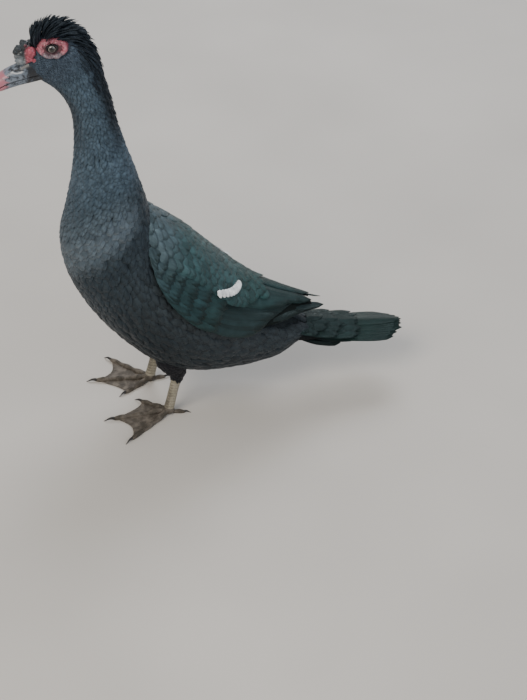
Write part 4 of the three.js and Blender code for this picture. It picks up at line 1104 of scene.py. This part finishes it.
def makeBillHalf(name, upper):
    place = np.linspace(0, len(billTable) - 1, bill["rows"])
    row = throughTable(billTable, place)[:, None, :]
    y, top, mouth, bottom, half = (row[..., i] for i in range(5))
    b = np.linspace(0, np.pi, bill["top"])[None, :]
    u = np.linspace(-1, 1, bill["flat"] + 2)[None, 1:-1]
    bow = np.sign(np.cos(b)) * np.abs(np.cos(b)) ** bill["power"]
    if not upper:
        half = half - bill["lowerNarrow"] * mm
        y = y + bill["lowerBack"] * mm
    start = mouth if upper else mouth - bill["gape"] * mm
    reach = (top if upper else bottom) - start
    arcX, arcZ = half * bow, start + reach * np.sin(b) ** bill["power"]
    flatX, flatZ = half * u, start + (1.2 if upper else -1.2) * mm * (1 - u ** 2)
    # the nostril: a slot pressed in on each side, with a raised edge
    ny, nz, long, tall = bill["nostril"]
    away = np.hypot((y / mm - ny) / long, (arcZ / mm - nz) / tall)
    press = -1.7 * np.exp(-1.3 * away ** 2) + 0.6 * np.exp(-((away - 1.6) / 0.4) ** 2)
    sideways = smoothStep(0.35, 0.7, np.abs(np.cos(b)))
    if upper:
        arcX = arcX + np.sign(np.cos(b)) * press * mm * sideways
    x, z = np.concatenate([arcX, flatX], axis=1), np.concatenate([arcZ, flatZ], axis=1)
    points = np.stack([x, np.broadcast_to(y, x.shape), z], axis=-1)
    rows, columns = points.shape[:2]
    points, faces = points.reshape(-1, 3), tubeFaces(rows, columns)
    tint, mottle = billTints(points)
    if upper:
        inSlot = np.zeros((rows, columns))
        inSlot[:, :bill["top"]] = np.exp(-1.1 * away ** 2.5) * sideways
        onEdge = np.zeros((rows, columns))
        onEdge[:, :bill["top"]] = np.exp(-((away - 1.7) / 0.45) ** 2) * sideways * (arcZ / mm < nz)
        # the slot is painted near black: painted shade inside the nostril's opening
        tint = blend(tint, linearColour("#0c0c0e"), inSlot.ravel())
        tint = blend(tint, linearColour("#d6d8d8"), 0.8 * onEdge.ravel())
        mottle = mottle * (1 - onEdge.ravel())
    newPiece(name, points, faces, horn, ("bill_upper" if upper else "bill_lower",), None, tint,
             {"mottle": mottle})


def makeNail():
    points, quads, caps = ballPart([0, -193.3, 562.8], [5.0, 6.0, 5.4], 32, 40)
    newPiece("billNail", points, [quads, caps], horn, ("bill_upper",), None,
             np.broadcast_to(linearColour("#b6a497"), points.shape), {"mottle": np.full(len(points), -0.1)})


makeBillHalf("billUpper", True)
makeBillHalf("billLower", False)
makeNail()
print("bill made")


# Legs: the feathered thigh, the scaled shank, then toes, webs and claws

# joint is where the toes meet, hock where the thigh begins, and turn is in degrees
legs = {
    "left": {"side": 1, "joint": [45, 13, 11], "hock": [47, 29, 80], "turn": 0},
    "right": {"side": -1, "joint": [-44, -4, 11], "hock": [-45, 15, 80], "turn": -9},
}
thighRings = {"rise": [-7, -4, 0, 8, 24, 48], "deep": [9.0, 9.6, 12.5, 18, 25, 24],
              "wide": [8.0, 8.6, 11, 15, 20, 20]}
thighCoat = {"top": 42, "bottom": 2, "step": 4.6, "spacing": 5.5, "length": 17, "width": 10, "depth": 2.2}
shankRings = {"t": [0.0, 0.06, 0.2, 0.5, 0.8, 1.05], "deep": [8, 8, 7.7, 7.5, 7.9, 8.6],
              "wide": [7.2, 7.2, 6.6, 6.3, 6.7, 7.4]}
upward = np.array([0, 0, 1.0])
toes = [
    {"name": "inner", "heading": -41, "length": 53, "root": 5.2, "tip": 3.4, "claw": 12, "joints": 2},
    {"name": "middle", "heading": 0, "length": 88, "root": 5.6, "tip": 3.6, "claw": 15, "joints": 3},
    {"name": "outer", "heading": 39, "length": 86, "root": 5.4, "tip": 3.4, "claw": 13, "joints": 3},
    {"name": "hind", "heading": 168, "length": 24, "root": 4, "tip": 2.8, "claw": 10, "joints": 1},
]
legColours = {"shank": "#b5ad98", "plate": "#37312b", "toe": "#5b544a", "web": "#645d54", "claw": "#262220"}


def scaledSkin(name, cell, dust):
    # small many-sided scales with dark creases, dry, and dusty where the noise is high
    material, tree, shader = newMaterial(name, {"Roughness": 0.6, "IOR": 1.45, "Specular IOR Level": 0.35})
    cells = addNode(tree, "ShaderNodeTexVoronoi", {"feature": "DISTANCE_TO_EDGE"}, objectPlace(tree, cell))
    crease = colourRamp(tree, cells.outputs["Distance"], [(0.0, 0.45), (0.09, 1.0)])
    cloud = noise(tree, 9, 6.0)
    base = scaledColour(tree, stored(tree, "tint", "Color"), brightness(tree, cloud, 0.7, 1.25))
    creased = addNode(tree, "ShaderNodeVectorMath", {"operation": "MULTIPLY"}, {0: base, 1: crease})
    dusty = colourRamp(tree, cloud, [(0.46, 0.0), (0.66, dust)])
    mixed = mixedColour(tree, dusty, creased.outputs[0], rgba("#857c71"))
    surfaceOf(tree, shader, mixed, (0.6, 0.3, crease))
    return material


legSkin = scaledSkin("scaledLeg", 1.5, 0.5)
webSkin = scaledSkin("webbedSkin", 1.1, 0.65)


def crossWays(up):  # the two directions across a limb: ahead, then to its side
    ahead = unit(np.array([0, -1, 0]) + up * up[..., 1:2])
    return ahead, np.cross(up, ahead)


def thighPoint(leg, rise, angle, grow):
    # below the hock the thigh follows the shank, above it leans in and forward to the belly
    joint, hock = np.array(leg["joint"], float), np.array(leg["hock"], float)
    shankUp = unit(hock - joint)
    inward = unit(np.array([-0.15 * leg["side"], -0.3, 1]))
    above = (rise > 0)[..., None]
    up = np.where(above, inward, shankUp)
    ahead, aside = crossWays(up)
    deep = (np.interp(rise, thighRings["rise"], thighRings["deep"]) + grow)[..., None]
    wide = (np.interp(rise, thighRings["rise"], thighRings["wide"]) + grow)[..., None]
    angle = angle[..., None]
    return hock + up * rise[..., None] + ahead * deep * np.cos(angle) + aside * wide * np.sin(angle)


def thighHome(leg, rise, angle):
    return np.stack([0.25 + 0.002 * rise, 0.5 + leg["side"] * 0.25 + 0.01 * angle], axis=-1)


def makeThigh(label, leg):
    rows, columns = 30, 36
    rise, angle = np.broadcast_arrays(np.linspace(-11, 48, rows)[:, None],
                                      roundTurn(columns))
    points = thighPoint(leg, rise, angle, np.full(rise.shape, -thighCoat["depth"])) * mm
    base = linearColour("#141316")
    newPiece(f"thighSkin_{label}", points, tubeFaces(rows, columns), skinMaterial(),
             (f"thigh_{label}",), {"OFBake": thighHome(leg, rise, angle)},
             np.broadcast_to(base, (rows * columns, 3)))
    roots = []
    for i, start in enumerate(np.arange(thighCoat["bottom"], thighCoat["top"], thighCoat["step"])):
        radius = np.interp(start, thighRings["rise"], thighRings["deep"])
        count = int(2 * np.pi * radius / thighCoat["spacing"])
        turns = 2 * np.pi * (np.arange(count) + 0.5 * (i % 2)) / count
        roots.append(np.stack([np.full(count, start), turns], axis=1))
    roots = np.concatenate(roots)
    n = len(roots)
    roots += dice.normal(0, 1, roots.shape) * [0.6, 0.05]
    length = thighCoat["length"] * dice.uniform(0.8, 1.15, n)[:, None, None]

    def place(t, across, lift):
        rise = roots[:, 0, None, None] - length * t
        radius = np.interp(rise, thighRings["rise"], thighRings["deep"])
        angle = roots[:, 1, None, None] + across / mm / radius
        rise = np.broadcast_to(rise, angle.shape)
        return thighPoint(leg, rise, angle, lift / mm + 0 * angle) * mm
    featherPiece(f"thighCoat_{label}", {
        "count": n, "steps": 6, "columns": 3, "width": thighCoat["width"] * mm * dice.uniform(0.85, 1.15, n),
        "tipRound": 2.2, "rootLift": -thighCoat["depth"] * mm - 0.3 * mm, "tilt": 0,
        "tipLift": mm * dice.uniform(0.4, 1.8, n), "camber": 0.15, "thick": 0.15 * mm, "place": place,
        "home": thighHome(leg, roots[:, 0], roots[:, 1]), "rim": 0.12,
        "tint": base * dice.uniform(0.8, 1.3, n)[:, None],
    }, plumage["body"], (f"thigh_{label}",))


def makeShank(label, leg):
    rows, columns = 170, 64
    joint, hock = np.array(leg["joint"], float), np.array(leg["hock"], float)
    length = np.linalg.norm(hock - joint)
    t = np.linspace(0.0, 1.05, rows)[:, None]
    angle = roundTurn(columns)
    ahead, aside = crossWays(unit(hock - joint))
    # broad plates overlap down the front, small rounded scales cover the sides and back
    front = smoothStep(0.25, 0.6, np.cos(angle)) + 0 * t
    plateNumber = t * length / 5.2 + 0.12 * np.sin(3 * angle)
    plate = plateNumber - np.floor(plateNumber)
    scaleNumber = t * length / 2.6
    scale = np.abs(np.sin(np.pi * scaleNumber) * np.sin(9 * angle + np.pi / 2 * np.floor(scaleNumber)))
    relief = front * 0.75 * plate ** 0.7 * smoothStep(1.0, 0.86, plate) + (1 - front) * 0.45 * np.sqrt(scale)
    relief = relief * smoothStep(1.02, 0.92, t)
    deep = np.interp(t, shankRings["t"], shankRings["deep"]) + relief - 0.5
    wide = np.interp(t, shankRings["t"], shankRings["wide"]) + relief - 0.5
    points = moved(joint, (hock - joint, t), (ahead, deep * np.cos(angle)), (aside, wide * np.sin(angle)))
    worn = (np.sin(np.floor(plateNumber) * 12.9 + leg["side"]) * 0.5 + 0.5) * front
    gaps = 0.85 * smoothStep(0.34, 0.1, plate) * (0.4 + 0.6 * front)
    pits = 0.35 * smoothStep(0.3, 0.0, scale) * (1 - front)
    dark = np.clip(0.6 * worn * smoothStep(0.15, 0.6, plate) + gaps + pits, 0, 0.9)
    tint = blend(linearColour(legColours["shank"]), linearColour(legColours["plate"]), dark)
    newPiece(f"shankScaled_{label}", points * mm, tubeFaces(rows, columns), legSkin,
             (f"shank_{label}",), None, tint)


def toeWays(leg, toe):
    a = math.radians(toe["heading"] * leg["side"] + leg["turn"])
    return np.array([math.sin(a), -math.cos(a), 0]), np.array([math.cos(a), math.sin(a), 0])


def toeRoot(leg):
    return np.array([leg["joint"][0], leg["joint"][1], 0.0])


def onFloor(points):  # presses what would sink below the floor into a flat sole
    points[..., 2] = np.maximum(points[..., 2], 0.05)
    return points


def toePart(leg, toe):
    rows, columns = 110, 28
    ahead, aside = toeWays(leg, toe)
    start = toeRoot(leg)
    t = np.linspace(0, 1, rows)[:, None]
    angle = roundTurn(columns)
    swell = 0.98 + 0.12 * np.cos(np.pi * t * (toe["joints"] * 2 + 1))
    radius = (toe["root"] + (toe["tip"] - toe["root"]) * t) * swell
    centre = 8 + (radius * 0.8 - 8) * np.minimum(1, t * 3.2)
    plateNumber = t * toe["length"] / 2.7
    plate = plateNumber - np.floor(plateNumber)
    above = smoothStep(0.1, 0.6, np.sin(angle))
    tip = np.sqrt(np.clip(1 - np.clip((t - 0.95) / 0.05, 0, 1) ** 2, 0.2, 1))
    radius = (radius + 0.4 * above * plate ** 0.7 * smoothStep(1.0, 0.8, plate)) * tip
    points = moved(start, (ahead, toe["length"] * t), (aside, radius * 0.92 * np.cos(angle)),
                   (upward, centre + radius * np.sin(angle)))
    dark = 0.5 * above * smoothStep(0.3, 0.0, plate)
    tint = blend(linearColour(legColours["toe"]), linearColour(legColours["plate"]), dark)
    return onFloor(points), tint


def webPart(leg, first, second):
    # between two toes, its front edge hanging back between the claws, with fine creases along it
    rows, columns = 40, 40
    reach = np.linspace(0.1, 1, rows)[:, None]
    f = np.linspace(0, 1, columns)[None, :]
    sag = 1 - 0.2 * 4 * f * (1 - f) * reach
    length = (first["length"] - 3 + (second["length"] - first["length"]) * f) * reach * sag
    firstWay, secondWay = toeWays(leg, first)[0], toeWays(leg, second)[0]
    way = unit(firstWay + (secondWay - firstWay) * f[..., None])
    start = toeRoot(leg)
    middle = start + way * length[..., None]
    crease = 0.22 * np.sin(f * 46 + 5 * reach) * np.sin(np.pi * f)
    level = 4.5 + (1.9 - 4.5) * reach - 0.7 * np.sin(np.pi * f) * reach + crease
    half = 0.65 - 0.3 * smoothStep(0.85, 1.0, reach)
    return [onFloor(moved(middle, (upward, level + lift))) for lift in (half, -half)]


def makeFoot(label, leg):
    replaced = (f"foot_{label}",)
    points, quads, caps = ballPart([leg["joint"][0], leg["joint"][1] - 1, 7.6], [8.6, 9, 8], 40, 48, 60,
                                   0.05, 0.3)
    points[:, 2] = np.maximum(points[:, 2], 0.05 * mm)
    for toe in toes:
        toePoints, tint = toePart(leg, toe)
        faces = tubeFaces(*toePoints.shape[:2])
        newPiece(f"toe_{label}_{toe['name']}", toePoints * mm, faces, legSkin, replaced, None, tint)
        makeClaw(label, leg, toe)
    tint = np.broadcast_to(linearColour(legColours["toe"]), points.shape)
    newPiece(f"ankle_{label}", points, [quads, caps], legSkin, replaced, None, tint)
    for first, second in zip(toes[0:2], toes[1:3]):
        web = np.stack(webPart(leg, first, second))
        faces = slabFaces(*web.shape[1:3])
        tint = np.broadcast_to(linearColour(legColours["web"]), web.shape)
        newPiece(f"web_{label}_{first['name']}", web * mm, faces, webSkin, replaced, None, tint)


def makeClaw(label, leg, toe):
    rows, columns = 24, 20
    ahead, aside = toeWays(leg, toe)
    start = toeRoot(leg) + ahead * (toe["length"] - 1.5)
    t = np.linspace(0, 1, rows)[:, None]
    angle = roundTurn(columns)
    radius = toe["tip"] * (0.84 - 0.72 * t)
    height = toe["tip"] * 0.88
    centre = height + 1.4 * np.sin(np.pi * np.minimum(1, t * 1.2)) - (height - 0.4) * t * t
    points = moved(start, (ahead, (toe["claw"] + 1.5) * t), (aside, radius * 0.75 * np.cos(angle)),
                   (upward, centre + radius * np.sin(angle)))
    name = f"claw_{label}_{toe['name']}"
    newPiece(f"horn_{name}", onFloor(points) * mm, tubeFaces(rows, columns), horn, (name,), None,
             np.broadcast_to(linearColour(legColours["claw"]), (rows * columns, 3)),
             {"mottle": np.full(rows * columns, -0.1)})


for label, leg in legs.items():
    makeThigh(label, leg)
    makeShank(label, leg)
    makeFoot(label, leg)
print("legs made")


# Camera, floor and light

view = {"azimuth": 78, "pitch": 37, "focal": 1400, "longSide": 700, "sensor": 36,
        "place": (1.73347758, -0.19510283, 1.4)}


def makeCamera():
    # azimuth and pitch were picked for the photo; focal and longSide are in its pixels
    a, p = math.radians(view["azimuth"]), math.radians(view["pitch"])
    ahead = Vector((-math.sin(a) * math.cos(p), math.cos(a) * math.cos(p), -math.sin(p)))
    data = bpy.data.cameras.new("camera")
    data.sensor_width = view["sensor"]
    data.lens = view["focal"] / view["longSide"] * view["sensor"]
    camera = bpy.data.objects.new("camera", data)
    camera.location = Vector(view["place"]) * lifeSize + Vector(frameShift)
    camera.rotation_mode = "QUATERNION"
    camera.rotation_quaternion = ahead.to_track_quat("-Z", "Y")
    bpy.context.scene.collection.objects.link(camera)
    bpy.context.scene.camera = camera


studio = {"target": (0, 0, 0.3), "floorSize": 14.0, "world": "#dfe3e8", "worldStrength": 0.55}
lamps = [
    {"name": "keyLight", "place": (1.6, -1.6, 2.6), "size": 1.6, "watts": 60, "colour": "#fff6ea"},
    {"name": "fillLight", "place": (2.2, 1.8, 1.6), "size": 2.2, "watts": 26, "colour": "#eaf1ff"},
    {"name": "rimLight", "place": (-2.0, 0.8, 2.4), "size": 1.6, "watts": 50, "colour": "#f2f6ff"},
]


def makeStudio():
    world = bpy.data.worlds.new("studioWorld")
    world.use_nodes = True
    background = world.node_tree.nodes["Background"]
    background.inputs["Color"].default_value = rgba(studio["world"])
    background.inputs["Strength"].default_value = studio["worldStrength"]
    bpy.context.scene.world = world
    half = studio["floorSize"] / 2
    corners = np.array([[-half, -half, 0], [half, -half, 0], [half, half, 0], [-half, half, 0]])
    mesh = bpy.data.meshes.new("floor")
    mesh.from_pydata(corners.tolist(), [], [(0, 1, 2, 3)])
    material, tree, shader = newMaterial("paleMattFloor", {"Roughness": 0.8, "Specular IOR Level": 0.2})
    place = addNode(tree, "ShaderNodeTexCoord")
    cloud = addNode(tree, "ShaderNodeTexNoise", inputs={"Vector": place.outputs["Object"], "Scale": 3.0})
    tint = colourRamp(tree, cloud.outputs["Fac"], [(0.3, "#cbc6be"), (0.7, "#d3cec6")])
    tree.links.new(tint, shader.inputs["Base Color"])
    mesh.materials.append(material)
    floor = bpy.data.objects.new("floor", mesh)
    bpy.context.scene.collection.objects.link(floor)
    target = Vector(studio["target"])
    for lamp in lamps:
        data = bpy.data.lights.new(lamp["name"], "AREA")
        data.energy, data.size, data.color = lamp["watts"], lamp["size"], linearColour(lamp["colour"])
        light = bpy.data.objects.new(lamp["name"], data)
        light.location = lamp["place"]
        light.rotation_mode = "QUATERNION"
        light.rotation_quaternion = (target - light.location).to_track_quat("-Z", "Y")
        bpy.context.scene.collection.objects.link(light)


makeCamera()
makeStudio()
print("camera, floor and light set")
